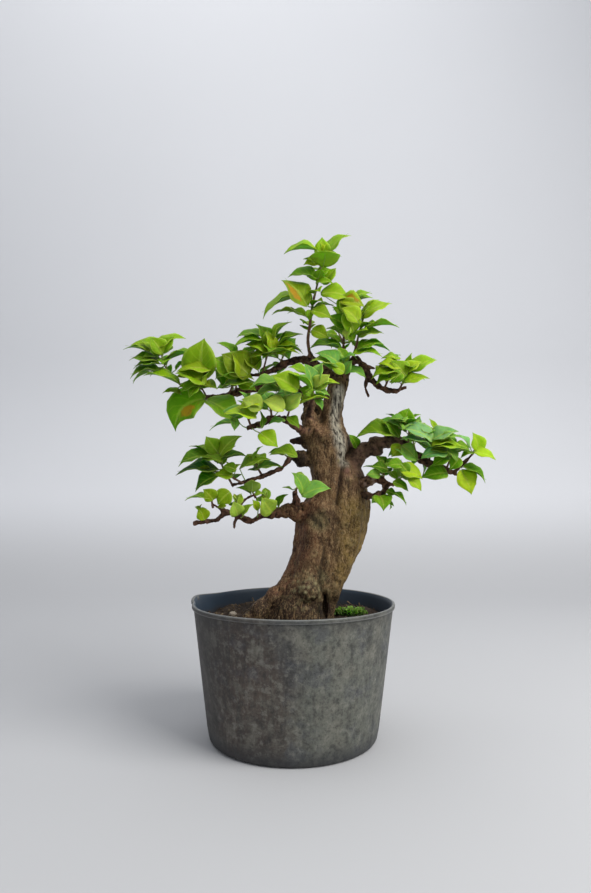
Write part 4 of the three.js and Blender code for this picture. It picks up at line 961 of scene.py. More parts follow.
# Each shoot runs from its place on the wood to its tip. leaves are the blades that stand out: the pixels of
# the foot and the tip in the camera's frame, the pixels that it looks wide, the foot's depth in millimetres,
# and a tone where it isn't the shoot's own. more and extra count the leaves set round the stem between them.
# blotched leaves have a brown patch, and a swayed one bends aside by that share of its length.
SHOOTS = {
    "leader": {"stem": [(17, 8, 378), (15, 4, 393), (17, 2, 408), (20, 0, 430), (24, -2, 447), (28, -4, 466),
                (29, -6, 487)],
        "foot": 2.4, "more": 7, "extra": 4, "size": 24, "seed": 11, "blotched": [6], "tone": "fresh",
        "leaves": [(316, 250, 283, 252, 10, -8), (322, 260, 322, 236, 13, 4), (328, 254, 350, 232, 13, 0),
            (323, 267, 325, 249, 25, -10, "bright"), (318, 265, 303, 258, 7, -3, "mid"),
            (317, 278, 287, 274, 13, -6, "mid"), (307, 306, 283, 276, 20, -14, "golden"),
            (300, 297, 259, 314, 13, -4), (297, 312, 271, 313, 6, -14, "golden"),
            (323, 284, 336, 267, 12, 6), (316, 283, 334, 283, 7, -8), (312, 309, 336, 304, 6, -4, "mid"),
            (312, 311, 333, 318, 13, -18, "golden"), (309, 310, 309, 321, 6, -12),
            (312, 330, 329, 338, 12, -14, "golden"), (322, 264, 303, 264, 11, -6, "bright"),
            (318, 275, 330, 268, 9, -2)]},
    "crown_right": {"stem": [(51, 5, 368), (52, 8, 391), (53, 10, 407), (59, 8, 427)],
        "foot": 2.2, "more": 6, "extra": 2, "size": 26, "seed": 21, "blotched": [4], "tone": "fresh",
        "leaves": [(321, 294, 352, 297, 15, -14), (341, 334, 326, 327, 6, 0, "deep"),
            (352, 300, 372, 291, 7, 4), (355, 302, 373, 297, 5, 8), (340, 301, 366, 305, 15, -18, "golden"),
            (346, 326, 328, 315, 14, -12, "mid"), (352, 320, 347, 331, 10, -20, "deep"),
            (340, 312, 352, 296, 13, -4), (357, 316, 338, 297, 17, -18, "golden"),
            (354, 332, 345, 307, 16, -18), (345, 318, 362, 308, 12, -22)]},
    "crown_fork": {"stem": [(60, 0, 371), (64, -4, 385), (67, -6, 399), (71, -9, 412)],
        "foot": 2, "more": 5, "extra": 1, "size": 24, "seed": 22, "tone": "fresh",
        "leaves": [(358, 322, 341, 307, 15, -24, "bright"), (362, 318, 392, 301, 13, -12),
            (366, 308, 379, 299, 4, 0), (365, 329, 400, 325, 8, -12), (359, 337, 384, 331, 9, -10, "pale"),
            (361, 345, 391, 350, 3, 0, "mid"), (353, 354, 385, 354, 8, -16),
            (349, 328, 346, 340, 5, -16, "pale"), (358, 350, 384, 342, 9, -14, "mid")]},
    "crown_heart": {"stem": [(52, -2, 352), (49, -10, 367)],
        "more": 3, "extra": 1, "size": 26, "seed": 23, "tone": "waxy",
        "leaves": [(341, 349, 308, 346, 8, -4, "mid"), (341, 366, 316, 350, 14, -20, "waxy"),
            (345, 362, 338, 346, 10, -10, "mid"), (336, 366, 310, 359, 8, -22, "pale"),
            (347, 370, 367, 377, 8, -12), (345, 374, 352, 360, 9, -20, "waxy"),
            (344, 372, 330, 364, 10, -28, "bright")]},
    "shelf_right_in": {"stem": [(91, -10, 340), (98, -12, 355)],
        "more": 3, "extra": 1, "size": 22, "seed": 31, "tone": "fresh",
        "leaves": [(389, 360, 401, 354, 4, -4, "mid"), (400, 358, 381, 357, 7, -10),
            (391, 365, 377, 367, 6, -16, "pale"), (398, 373, 370, 376, 9, -26),
            (402, 373, 391, 384, 10, -28, "mid"), (400, 367, 378, 362, 11, -18),
            (396, 377, 375, 383, 8, -24)]},
    "shelf_right_out": {"stem": [(107, -8, 340), (115, -10, 358)],
        "more": 4, "extra": 1, "size": 24, "seed": 32, "tone": "fresh",
        "leaves": [(412, 371, 437, 357, 13, -14, "bright"), (410, 373, 411, 352, 8, -4, "bright"),
            (406, 376, 391, 360, 15, -22), (404, 383, 430, 377, 10, -24, "bright"),
            (402, 382, 400, 370, 3, -28, "pale"), (412, 375, 398, 368, 8, -12, "mid"),
            (406, 372, 422, 361, 10, -16, "bright")]},
    "shelf_left_end": {"stem": [(-104, 32, 338), (-126, 28, 356), (-137, 24, 372), (-140, 22, 385)],
        "bare": 0.5, "more": 6, "extra": 1, "size": 26, "seed": 41, "tone": "mid",
        "leaves": [(158, 350, 130, 344, 12, 26, "fresh"), (155, 356, 123, 345, 4, 32),
            (158, 350, 185, 335, 12, 20, "fresh"), (160, 355, 156, 338, 13, 16),
            (157, 360, 128, 357, 10, 20, "deep"), (158, 371, 128, 375, 9, 16, "deep"),
            (150, 372, 131, 382, 3, 26, "mid"), (168, 360, 197, 352, 7, 26), (176, 370, 186, 361, 6, 28),
            (163, 354, 150, 336, 14, 12, "fresh"), (162, 352, 174, 335, 13, 14, "fresh"),
            (159, 364, 132, 366, 10, 18), (160, 351, 140, 339, 11, 22, "fresh")]},
    "shelf_left_big": {"stem": [(-92, 30, 337), (-100, 10, 354)],
        "more": 5, "extra": 1, "size": 26, "seed": 42, "blotched": [4], "swayed": {4: 0.4}, "tone": "golden",
        "leaves": [(202, 380, 203, 336, 30, 12), (205, 384, 175, 371, 16, 0, "fresh"),
            (200, 384, 180, 392, 9, 4, "mid"), (200, 384, 214, 366, 9, 6, "mid"),
            (205, 399, 173, 431, 28, 18, "mid"), (180, 394, 162, 391, 6, 16),
            (179, 384, 143, 372, 9, 8, "fresh"), (211, 370, 176, 370, 13, 4, "golden"),
            (198, 386, 188, 398, 8, 2, "mid")]},
    "shelf_left_mid": {"stem": [(-70, 34, 340), (-56, 14, 364)],
        "more": 6, "extra": 2, "size": 26, "seed": 43, "tone": "golden",
        "leaves": [(240, 376, 213, 355, 20, 6, "fresh"), (235, 356, 217, 342, 8, 22, "mid"),
            (243, 380, 233, 352, 14, 0), (247, 372, 262, 358, 10, 14), (240, 372, 214, 378, 10, -2, "mid"),
            (245, 360, 258, 346, 10, 20, "mid"), (207, 400, 241, 424, 19, 14, "deep"),
            (222, 388, 258, 381, 12, 12, "deep"), (248, 374, 221, 352, 24, 2, "golden"),
            (258, 370, 238, 351, 14, 10), (222, 385, 214, 367, 8, 14, "mid")]},
    "shelf_left_in": {"stem": [(-33, 20, 360), (-24, 6, 388)],
        "bare": 0.4, "more": 6, "extra": 1, "size": 26, "seed": 44, "tone": "fresh",
        "leaves": [(262, 340, 232, 346, 9, 6), (263, 336, 236, 335, 8, 16, "mid"),
            (270, 345, 257, 322, 12, 14), (272, 345, 290, 319, 11, 10), (279, 345, 303, 333, 8, 4),
            (271, 349, 266, 330, 10, 0, "bright"), (262, 355, 300, 352, 9, -6, "golden"),
            (276, 350, 304, 350, 6, 6), (262, 350, 247, 348, 7, 10), (277, 342, 287, 331, 5, 12, "mid"),
            (270, 350, 245, 342, 12, 4), (276, 352, 297, 344, 12, 2), (268, 354, 249, 357, 9, 0, "golden")]},
    "shelf_back": {"stem": [(-16, 24, 369), (-9, 48, 390)],
        "more": 4, "extra": 6, "size": 28, "seed": 45, "tone": "mid",
        "leaves": []},
    "front_left": {"stem": [(-39, -54, 297), (-45, -62, 314)],
        "more": 4, "extra": 1, "size": 24, "seed": 51, "tone": "waxy",
        "leaves": [(262, 408, 241, 398, 15, -78, "pale"), (256, 418, 222, 412, 12, -76, "bright"),
            (240, 424, 208, 427, 5, -68), (232, 418, 235, 431, 5, -74),
            (262, 428, 261, 410, 11, -60, "deep"), (260, 433, 279, 447, 13, -64, "bright"),
            (240, 410, 262, 405, 7, -82, "bright")]},
    "front_mid": {"stem": [(-20, -45, 306), (-22, -56, 320)],
        "more": 5, "extra": 1, "size": 24, "seed": 52, "tone": "waxy",
        "leaves": [(281, 384, 248, 387, 11, -70, "cool"), (280, 390, 253, 397, 9, -66, "deep"),
            (298, 390, 271, 374, 18, -78, "fresh"), (284, 410, 262, 399, 14, -84, "pale"),
            (285, 421, 268, 424, 5, -56)]},
    "front_right": {"stem": [(-6, -36, 307), (0, -48, 325)],
        "more": 3, "extra": 1, "size": 24, "seed": 53, "tone": "waxy",
        "leaves": [(312, 388, 283, 371, 7, -80, "bright"), (286, 410, 302, 392, 13, -82, "pale"),
            (287, 418, 300, 428, 8, -44, "mid"), (307, 375, 288, 366, 9, -50, "mid"),
            (312, 395, 299, 388, 9, -58, "mid"), (278, 412, 285, 395, 10, -76, "light")]},
    "front_heart": {"stem": [(19, -38, 332), (18, -40, 341)],
        "more": 3, "extra": 1, "size": 24, "seed": 54, "tone": "waxy",
        "leaves": [(311, 389, 306, 362, 16, -62), (315, 388, 330, 374, 13, -62, "pale"),
            (314, 390, 331, 395, 4, -66), (300, 404, 329, 396, 6, -72, "bright"),
            (315, 400, 323, 410, 5, -64), (316, 388, 340, 382, 6, -60, "bright"),
            (318, 384, 322, 362, 12, -50)]},
    "arm_left_low": {"stem": [(-50, -29, 246), (-66, -31, 254), (-82, -32, 258)],
        "more": 2, "extra": 1, "size": 24, "seed": 61, "tone": "deep",
        "leaves": [(232, 476, 214, 474, 9, -42, "golden"), (231, 475, 240, 463, 7, -40, "golden"),
            (236, 470, 222, 466, 8, -46)]},
    "arm_left_top": {"stem": [(-59, -27, 244), (-68, -25, 260), (-74, -24, 276)],
        "bare": 0.45, "more": 3, "extra": 1, "size": 24, "seed": 62, "tone": "deep",
        "leaves": [(218, 453, 206, 435, 13, -30), (220, 455, 241, 434, 13, -36),
            (214, 455, 189, 445, 5, -20), (215, 457, 176, 463, 10, -32),
            (218, 470, 174, 472, 8, -28, "dark"), (218, 476, 193, 490, 10, -38, "dark"),
            (222, 460, 247, 455, 5, -34), (222, 462, 200, 459, 6, -42),
            (229, 474, 226, 460, 6, -36, "golden")]},
    "arm_left_in": {"stem": [(-30, -21, 252), (-38, -24, 266)],
        "more": 3, "extra": 1, "size": 24, "seed": 63, "tone": "deep",
        "leaves": [(240, 469, 271, 458, 9, -30), (255, 470, 283, 466, 7, -26)]},
    "arm_left_knob": {"stem": [(-3, -10, 270), (-8, -16, 273)],
        "more": 1, "extra": 0, "size": 20, "seed": 64, "tone": "deep",
        "leaves": [(297, 457, 269, 453, 10, -26)]},
    "low_tip": {"stem": [(-82, -38, 209), (-87, -42, 218)],
        "more": 1, "extra": 0, "size": 14, "seed": 71, "tone": "light",
        "leaves": [(204, 520, 198, 507, 11, -46, "golden")]},
    "low_left": {"stem": [(-76, -40, 224), (-77, -41, 230)],
        "more": 1, "extra": 0, "size": 18, "seed": 72, "tone": "light",
        "leaves": [(230, 492, 217, 505, 14, -50, "golden"), (226, 506, 217, 508, 3, -46, "golden"),
            (213, 500, 203, 489, 12, -52, "golden"), (210, 499, 184, 498, 3, -50)]},
    "low_mid": {"stem": [(-54, -31, 214), (-54, -34, 228)],
        "more": 1, "extra": 1, "size": 16, "seed": 73, "tone": "light",
        "leaves": [(243, 516, 253, 503, 7, -46), (238, 515, 234, 501, 12, -46, "pale")]},
    "low_right": {"stem": [(-38, -15, 233), (-41, -17, 239)],
        "more": 1, "extra": 0, "size": 16, "seed": 74, "tone": "light",
        "leaves": [(252, 492, 252, 479, 12, -30), (251, 494, 236, 487, 3, -24, "mid"),
            (255, 494, 263, 493, 4, -30)]},
    "low_in": {"stem": [(-24, -22, 218), (-28, -26, 231)],
        "more": 1, "extra": 1, "size": 18, "seed": 75, "tone": "light",
        "leaves": [(272, 512, 262, 497, 15, -38), (258, 510, 253, 499, 6, -36, "golden"),
            (279, 507, 287, 493, 7, -32, "deep")]},
    "low_heart": {"stem": [(2, -23, 237), (6, -31, 246)],
        "more": 1, "extra": 0, "size": 18, "seed": 76, "tone": "light",
        "leaves": [(303, 494, 293, 471, 13, -40, "cool"), (302, 496, 331, 487, 12, -42, "waxy"),
            (293, 490, 282, 487, 2, -34, "mid")]},
    "right_in": {"stem": [(102, -14, 291), (105, -20, 304)],
        "more": 4, "extra": 1, "size": 26, "seed": 81, "tone": "cool",
        "leaves": [(395, 437, 355, 434, 14, -24, "deep"), (357, 448, 349, 434, 8, -10, "mid"),
            (399, 437, 383, 419, 11, -20, "mid"), (398, 421, 386, 413, 2, -10, "mid"),
            (402, 446, 391, 457, 11, -40, "golden"), (402, 446, 416, 458, 12, -44),
            (417, 459, 393, 447, 14, -34)]},
    "right_top": {"stem": [(113, -18, 284), (114, -22, 303)],
        "more": 5, "extra": 1, "size": 26, "seed": 82, "tone": "cool",
        "leaves": [(404, 424, 409, 407, 14, -18, "mid"), (413, 418, 421, 414, 2, -8, "mid"),
            (432, 441, 400, 427, 16, -46, "pale_cool"), (430, 432, 415, 425, 7, -30, "deep"),
            (430, 447, 400, 437, 8, -50, "pale_cool")]},
    "right_mid": {"stem": [(133, -21, 268), (134, -25, 288)],
        "more": 5, "extra": 1, "size": 26, "seed": 83, "tone": "cool",
        "leaves": [(434, 434, 430, 418, 9, -22, "golden"), (432, 440, 459, 430, 12, -34, "pale_cool"),
            (441, 441, 461, 436, 6, -46), (432, 447, 456, 443, 7, -52, "bright"),
            (434, 447, 466, 449, 9, -56, "bright"),
            (447, 453, 420, 457, 13, -54, "pale_cool"), (447, 450, 430, 449, 7, -48, "deep")]},
    "right_far": {"stem": [(150, -20, 260), (158, -23, 280)],
        "more": 5, "extra": 1, "size": 24, "seed": 84, "tone": "cool",
        "leaves": [(470, 448, 458, 433, 8, -26, "pale_cool"), (455, 444, 471, 450, 6, -44, "mid"),
            (448, 448, 458, 462, 8, -48), (448, 457, 432, 466, 9, -42, "mid"),
            (459, 458, 449, 470, 10, -40, "mid"), (474, 453, 460, 457, 4, -34, "bright")]},
    "right_end": {"stem": [(176, -21, 275), (178, -22, 279)],
        "more": 1, "extra": 0, "size": 20, "seed": 85, "tone": "light",
        "leaves": [(478, 452, 473, 432, 14, -36, "bright"), (474, 452, 497, 459, 9, -44, "bright")]},
    "right_under": {"stem": [(159, -18, 254), (169, -22, 250)],
        "more": 1, "extra": 0, "size": 22, "seed": 86, "tone": "light",
        "leaves": [(461, 470, 473, 495, 16, -38, "bright"), (463, 467, 488, 481, 9, -34, "mid"),
            (447, 473, 421, 477, 13, -32, "deep")]},
    "loop_left": {"stem": [(87, -25, 246), (88, -26, 260)],
        "more": 3, "extra": 1, "size": 22, "seed": 91, "tone": "cool",
        "leaves": [(388, 470, 370, 466, 8, -32, "deep"), (380, 475, 366, 474, 8, -36),
            (386, 466, 376, 455, 8, -22, "deep"), (390, 472, 398, 480, 5, -36, "deep")]},
    "loop_right": {"stem": [(97, -30, 244), (104, -32, 251)],
        "more": 3, "extra": 1, "size": 24, "seed": 92, "tone": "cool",
        "leaves": [(400, 470, 424, 478, 13, -46, "bright"), (408, 479, 422, 491, 10, -50, "bright"),
            (393, 482, 409, 491, 8, -46, "deep"), (402, 465, 386, 466, 9, -44, "mid"),
            (401, 464, 410, 475, 10, -46, "mid")]},
    "loop_low": {"stem": [(86, -28, 236), (89, -34, 227)],
        "more": 1, "extra": 0, "size": 16, "seed": 93, "tone": "cool",
        "leaves": [(380, 496, 384, 510, 14, -36, "mid"), (380, 497, 371, 503, 6, -32),
            (387, 491, 397, 494, 6, -38, "deep"), (391, 493, 408, 504, 3, -40, "mid")]},
    "back_arm": {"stem": [(32, 70, 322), (30, 78, 342)],
        "more": 4, "extra": 3, "size": 24, "seed": 94, "tone": "mid",
        "leaves": []},
    "crown_back": {"stem": [(52, 8, 391), (48, 36, 410)],
        "more": 3, "extra": 3, "size": 25, "seed": 95, "tone": "fresh",
        "leaves": []},
    "shelf_left_back": {"stem": [(-62, 38, 344), (-64, 62, 366)],
        "more": 4, "extra": 3, "size": 27, "seed": 96, "tone": "mid",
        "leaves": []},
    "right_back": {"stem": [(121, -18, 272), (124, 16, 290)],
        "more": 4, "extra": 3, "size": 27, "seed": 97, "tone": "cool",
        "leaves": []},
}
LEAF = {"wide": 0.66, "broad": 0.78, "stalk": 0.2, "longest": 42.0, "arch": 0.13, "roll": 0.7, "full": 1.12,
    "thick": 0.35}
VIEW_FRAME = (591, 893)  # pixels of the camera's frame, in which the leaves' places are given
VIEW_FOCAL = CAMERA_LENS / camera.data.sensor_width * VIEW_FRAME[1]
SEEN = {  # how a blade's pixels are turned into its shape
    "open": 0.80,  # a blade that looks wider than this share of its length comes forward
    "droop": 2.0,  # how far a tip comes forward of its foot in any case
    "facings": (0.12, 0.92),
    "widths": (0.3, 1.8),
    "narrowed": 0.68,  # by its fold and its outline
    "arch": 0.07,
    "reach": 20.0,  # the furthest that a foot stands before or behind the wood that carries it
    "stalk": 0.03,  # a blade given by its foot has hardly any stalk on its own line
}
STEM = {"foot": 1.5, "tip": 0.75, "bare": 0.15, "leafy": 0.95}  # radii, then shares of its length
SETTLE = {"rounds": 24, "clear": 3.6, "off_wood": 2.4, "step": 1.3, "aside": 0.2, "reach": 30.0}
GOLDEN_ANGLE = 2.39996
# bright, pale and pale_cool are leaf colours lightened as painted light on lit leaves, with a painted bluish
# sheen in pale_cool; dark is a leaf colour darkened as painted shade.
TONES = {  # colours of the older and the younger leaves of a shoot
    "fresh": ((0.140, 0.275, 0.003), (0.310, 0.440, 0.008)),
    "mid": ((0.078, 0.200, 0.003), (0.190, 0.345, 0.008)),
    "golden": ((0.150, 0.235, 0.003), (0.260, 0.350, 0.005)),
    "waxy": ((0.100, 0.265, 0.040), (0.230, 0.430, 0.080)),
    "deep": ((0.060, 0.140, 0.004), (0.200, 0.320, 0.008)),
    "light": ((0.175, 0.300, 0.016), (0.330, 0.460, 0.070)),
    "cool": ((0.095, 0.250, 0.030), (0.250, 0.430, 0.055)),
    "bright": ((0.200, 0.340, 0.006), (0.350, 0.470, 0.012)),
    "pale": ((0.250, 0.370, 0.035), (0.380, 0.500, 0.090)),
    "pale_cool": ((0.120, 0.300, 0.085), (0.240, 0.430, 0.150)),
    "dark": ((0.022, 0.062, 0.003), (0.045, 0.105, 0.005)),
}


def unit(rows):
    return rows / np.linalg.norm(rows, axis=-1, keepdims=True)


def seen_at(u, v, y):
    """The place at depth y, in millimetres, that stands at pixel (u, v) of the camera's frame."""
    tilt = math.radians(CAMERA_PITCH_UP)
    across = (u - VIEW_FRAME[0] / 2) / VIEW_FOCAL
    up = (VIEW_FRAME[1] / 2 - v) / VIEW_FOCAL
    reach = (y - CAMERA_AT[1]) / (math.cos(tilt) - math.sin(tilt) * up)
    rise = math.sin(tilt) + math.cos(tilt) * up
    return np.array((CAMERA_AT[0] + across * reach, y, CAMERA_AT[2] + rise * reach))


ARM_PLACES = []
for points in ARMS.values():
    route = Route(points)
    ARM_PLACES += [route.at(route.even(share)) for share in np.linspace(0.2, 1, 17)]


def carrier(shoot, place):
    """The nearest point to a place on a shoot's own stem or on an arm."""
    route = Route(shoot["stem"])
    own = [route.at(route.even(share)) for share in np.linspace(0.1, 1, 19)]
    return min(own + ARM_PLACES, key=lambda at: math.dist(at, place))


def placed(owner, shoot, leaf, roll):
    """The row of a leaf given by its blade's foot and tip, how wide it looks and its foot's depth."""
    u, v, tip_u, tip_v, wide, y = leaf[:6]
    shown = math.dist((u, v), (tip_u, tip_v))
    length = max(shown, wide / SEEN["open"])
    held_y = carrier(shoot, seen_at(u, v, y))[1]
    y = held_y + SEEN["reach"] * math.tanh((y - held_y) / SEEN["reach"])
    tip_y = y - SEEN["droop"] - math.sqrt(length ** 2 - shown ** 2)
    level = abs(tip_u - u) / shown
    open_share = min(0.97, wide / length / LEAF["wide"])
    slope = open_share * level / math.sqrt(1 - open_share ** 2)
    flattest, steepest = SEEN["facings"]
    facing = min(steepest, max(flattest, slope / (1 + slope)))
    shows = facing / math.hypot(facing, level * (1 - facing))
    full_share = LEAF["wide"] + (LEAF["broad"] - LEAF["wide"]) * facing
    width = wide / (length * full_share * LEAF["full"] * SEEN["narrowed"] * shows)
    least, most = SEEN["widths"]
    foot, tip = seen_at(u, v, y), seen_at(tip_u, tip_v, tip_y)
    return [*foot, *tip, facing, roll, min(most, max(least, width)), owner, 1]


def sprouted(owner, shoot, count, seed):
    """Rows of root, tip, facing, roll, width, owner and 0, for leaves that stand round a shoot's stem."""
    chance = draws(seed)

    def spread(reach):
        return (next(chance) - 0.5) * reach

    route = Route(shoot["stem"])
    bare = shoot.get("bare", STEM["bare"])
    rows = []
    for order in range(count):
        share = bare + (STEM["leafy"] - bare) * (order + 0.5) / count
        turn = GOLDEN_ANGLE * order * 0.5 * (1 if order % 2 else -1) + spread(0.8)
        lift = 0.25 + 0.5 * share + spread(0.3)
        length = shoot["size"] * (1.15 - 0.3 * share) * (1 + spread(0.2))
        t = route.even(share)
        root, axis = route.at(t), route.heading(t)
        backward = unit(np.array((0.0, 1.0, 0.0)) - axis * axis[1])
        outward = backward * math.cos(turn) + np.cross(axis, backward) * math.sin(turn)
        tip = root + length * (outward * math.cos(lift) + axis * math.sin(lift))
        rows.append([*root, *tip, 0.25 + 0.3 * next(chance)])
    return [[*row, spread(LEAF["roll"]), 1 + spread(0.16), owner, 0] for row in rows]


def half_width(s):
    """Half a blade's width at shares of its length: a round foot, then a drawn-out tip. 1 at its widest."""
    oval = np.sin(np.pi * np.clip(s, 0, 1) ** 0.72) ** 0.8
    return np.maximum(0.10 * (1 - s), oval * (1 - 0.85 * s ** 4))


def lay(leaves):
    """How leaves lie: their lines' roots, bows and tips, their side ways, stalk shares and half widths."""
    root, tip = leaves[:, 0:3], leaves[:, 3:6]
    facing, roll, width = leaves[:, 6:7], leaves[:, 7:8], leaves[:, 8:9]
    length = np.linalg.norm(tip - root, axis=1, keepdims=True)
    along = (tip - root) / length
    face = np.hstack([0 * facing, -facing, 1 - facing])
    level = np.sum(along * face, axis=1, keepdims=True)
    face = face * np.cos(roll) + np.cross(along, face) * np.sin(roll) + along * level * (1 - np.cos(roll))
    side = unit(np.cross(along, face))
    given = leaves[:, 10:11] > 0
    arch = np.where(given, SEEN["arch"], LEAF["arch"])
    bow = (root + tip) / 2 + np.cross(side, along) * 2 * arch * length
    stalk = np.where(given, SEEN["stalk"], np.maximum(LEAF["stalk"], 1 - LEAF["longest"] / length))
    half = length * (1 - stalk) * (LEAF["wide"] + (LEAF["broad"] - LEAF["wide"]) * facing) * width / 2
    return root, bow, tip, side, stalk, half


def on_line(root, bow, tip, t):
    return (1 - t) ** 2 * root + 2 * t * (1 - t) * bow + t ** 2 * tip


def feelers(leaves):
    """Twelve points on each blade: its middle line and near its margins, at four places along it."""
    root, bow, tip, side, stalk, half = lay(leaves)
    points = []
    for s in (0.15, 0.4, 0.65, 0.88):
        centre = on_line(root, bow, tip, stalk + s * (1 - stalk))
        points += [centre + side * share * half * half_width(s) for share in (-0.9, 0.0, 0.9)]
    return np.stack(points, axis=1)


def settle(leaves, knots, settled=0):
    """Swings leaves that come too close apart about their roots, and off the wood. The first ones stay."""
    at, radius, owner = knots[:, :3], knots[:, 3], knots[:, 4]
    squash = np.array((SETTLE["aside"], 1.0, SETTLE["aside"]))
    for _ in range(SETTLE["rounds"]):
        felt = feelers(leaves)
        middles = felt[:, 4]
        pushes = np.zeros((len(leaves), 3))
        near = np.linalg.norm(middles[:, None] - middles[None], axis=-1) <= SETTLE["reach"]
        first, second = np.nonzero(np.triu(near, 1))
        gaps = np.linalg.norm(felt[first][:, :, None] - felt[second][:, None], axis=-1).min(axis=(1, 2))
        first, second = first[gaps <= SETTLE["clear"]], second[gaps <= SETTLE["clear"]]
        away = unit((middles[first] - middles[second]) * squash) * SETTLE["step"]
        np.add.at(pushes, first, away)
        np.add.at(pushes, second, -away)
        for number in range(settled, len(leaves)):
            gaps = np.linalg.norm(felt[number][:, None] - at[None], axis=-1)
            nearest = gaps.argmin(axis=0)
            hit = (gaps.min(axis=0) < radius + SETTLE["off_wood"]) & (owner != leaves[number, 9])
            if hit.any():
                away = (felt[number][nearest[hit]] - at[hit]) * squash
                pushes[number] += (unit(away) * SETTLE["step"]).sum(axis=0)
        size = np.linalg.norm(pushes, axis=1, keepdims=True)
        pushes *= np.minimum(1, 2 * SETTLE["step"] / np.maximum(size, SHARE_LEAST))
        pushes[:settled] = 0
        reach = leaves[:, 3:6] - leaves[:, 0:3]
        length = np.linalg.norm(reach, axis=1, keepdims=True)
        leaves[:, 3:6] = leaves[:, 0:3] + unit(reach + pushes) * length


# Leaves keep off the trunk's middle line, the arms and the other shoots' stems.
knots = [((a + b) / 2, (c + d) / 2, z, min(b - a, d - c) / 2, -1) for z, a, b, c, d in TRUNK]
for route in ARMS.values():
    for start, end in zip(route, route[1:]):
        knots += [(*start, -1), (*[(a + b) / 2 for a, b in zip(start, end)], -1)]
for owner, shoot in enumerate(SHOOTS.values()):
    for start, end in zip(shoot["stem"], shoot["stem"][1:]):
        for share in (0.25, 0.5, 0.75, 1.0):
            knots.append((*[a + (b - a) * share for a, b in zip(start, end)], STEM["foot"], owner))
knots = np.array(knots, float)
leaves = []
for owner, shoot in enumerate(SHOOTS.values()):
    chance = draws(shoot["seed"] + 300)
    leaves += [placed(owner, shoot, leaf, 0.2 * (next(chance) - 0.5)) for leaf in shoot["leaves"]]
placed_count = len(leaves)
for owner, shoot in enumerate(SHOOTS.values()):
    leaves += sprouted(owner, shoot, shoot["more"], shoot["seed"])
    leaves += sprouted(owner, shoot, shoot["extra"], shoot["seed"] + 100)
leaves = np.array(leaves, float)
settle(leaves, knots, placed_count)

# One flat blade, 4 cells across and 11 along, drawn together at its tip, is bent and copied for every leaf.
BLADE = {"cells": (4, 11), "packed": 0.45, "wave": 0.11, "waves": 1.6, "apart": 1.9, "drawn_in": 0.18}
bpy.ops.object.select_all(action="DESELECT")
bpy.ops.mesh.primitive_grid_add(
    x_subdivisions=BLADE["cells"][0], y_subdivisions=BLADE["cells"][1], size=2, location=(0, 0, 0)
)
blade = bpy.context.object
for vertex in blade.data.vertices:
    if vertex.co.y > 0.99:
        vertex.co.x = 0
bpy.ops.object.mode_set(mode="EDIT")
bpy.ops.mesh.select_all(action="SELECT")
bpy.ops.mesh.remove_doubles(threshold=0.001)
bpy.ops.object.mode_set(mode="OBJECT")
BLADE_ACROSS = np.array([v.co.x for v in blade.data.vertices])
BLADE_ALONG = np.array([(v.co.y + 1) / 2 for v in blade.data.vertices])
BLADE_FACES = [list(p.vertices) for p in blade.data.polygons]
bpy.data.objects.remove(blade)


def drawn_lay(leaf, sway):
    """How one leaf lies, with its line swayed to the side by a share of its length."""
    root, bow, tip, side, stalk, half = (part[0] for part in lay(leaf[None]))
    return root, bow + side * sway * math.dist(root, tip), tip, side, stalk, half * LEAF["full"]


def bent_blade(leaf, fold, curl, phase, sway=0.0):
    """A blade's vertices on a leaf's line, folded up along its midrib, with waved margins and curled tip."""
    root, bow, tip, side, stalk, half = drawn_lay(leaf, sway)
    s = BLADE_ALONG - BLADE["packed"] * np.sin(2 * np.pi * BLADE_ALONG) / (2 * np.pi)
    a = BLADE_ACROSS
    reach = (half * half_width(s))[:, None]
    t = (stalk + (s - 0.05 * a ** 2 * (1 - s) ** 8) * (1 - stalk))[:, None]
    centre = on_line(root, bow, tip, t)
    tangent = unit((1 - t) * (bow - root) + t * (tip - bow))
    normal = unit(np.cross(side, tangent))
    side = np.cross(tangent, normal)
    ripple = np.sin(2 * np.pi * BLADE["waves"] * s + phase + (a > 0) * BLADE["apart"])
    wave = BLADE["wave"] * ripple * np.abs(a)
    lift = reach[:, 0] * (fold * (np.abs(a) - 0.4 * a ** 2) + wave) - curl * half * s ** 4
    aside = side * (a[:, None] * reach * (1 - BLADE["drawn_in"] * fold))
    return centre + aside + normal * (lift[:, None] + 0.2)


def add_blade(body, places, colour):
    """Adds a blade to mesh work, tinted, and gives back its vertices and faces."""
    tint_layer = body.verts.layers.float_color["tint"]
    made = [body.verts.new(place * MM) for place in places]
    for vertex in made:
        vertex[tint_layer] = (*colour, 1)
    return made, [body.faces.new([made[c] for c in corners]) for corners in BLADE_FACES]


def shaded(colour, shade, warmth):
    """A leaf colour made lighter or darker, and yellower or bluer."""
    return [colour[0] * shade * (1 + warmth), colour[1] * shade, colour[2] * shade * (1 - warmth)]


LEAF_GLOW = {"Subsurface_Weight": 0.35, "Subsurface_Radius": (0.45, 1.0, 0.08), "Subsurface_Scale": 0.003}
leaf_top = Finish("leaf_upper_side", Specular_IOR_Level=0.10, **LEAF_GLOW)
across = leaf_top.add("SeparateXYZ", sockets=[leaf_top.named("UVMap", "Vector")], output="X")
along = leaf_top.add("SeparateXYZ", sockets=[leaf_top.named("UVMap", "Vector")], output="Y")
off_middle = (across - 0.5).math("ABSOLUTE") * 2
ribs = (along * 7.0 - off_middle * 1.7).math("FRACT")
ribs = leaf_top.step((ribs - 0.5).math("ABSOLUTE"), 0.36, 0.47) * leaf_top.step(off_middle, 1.0, 0.55)
midrib = leaf_top.step(off_middle, 0.16, 0.04)
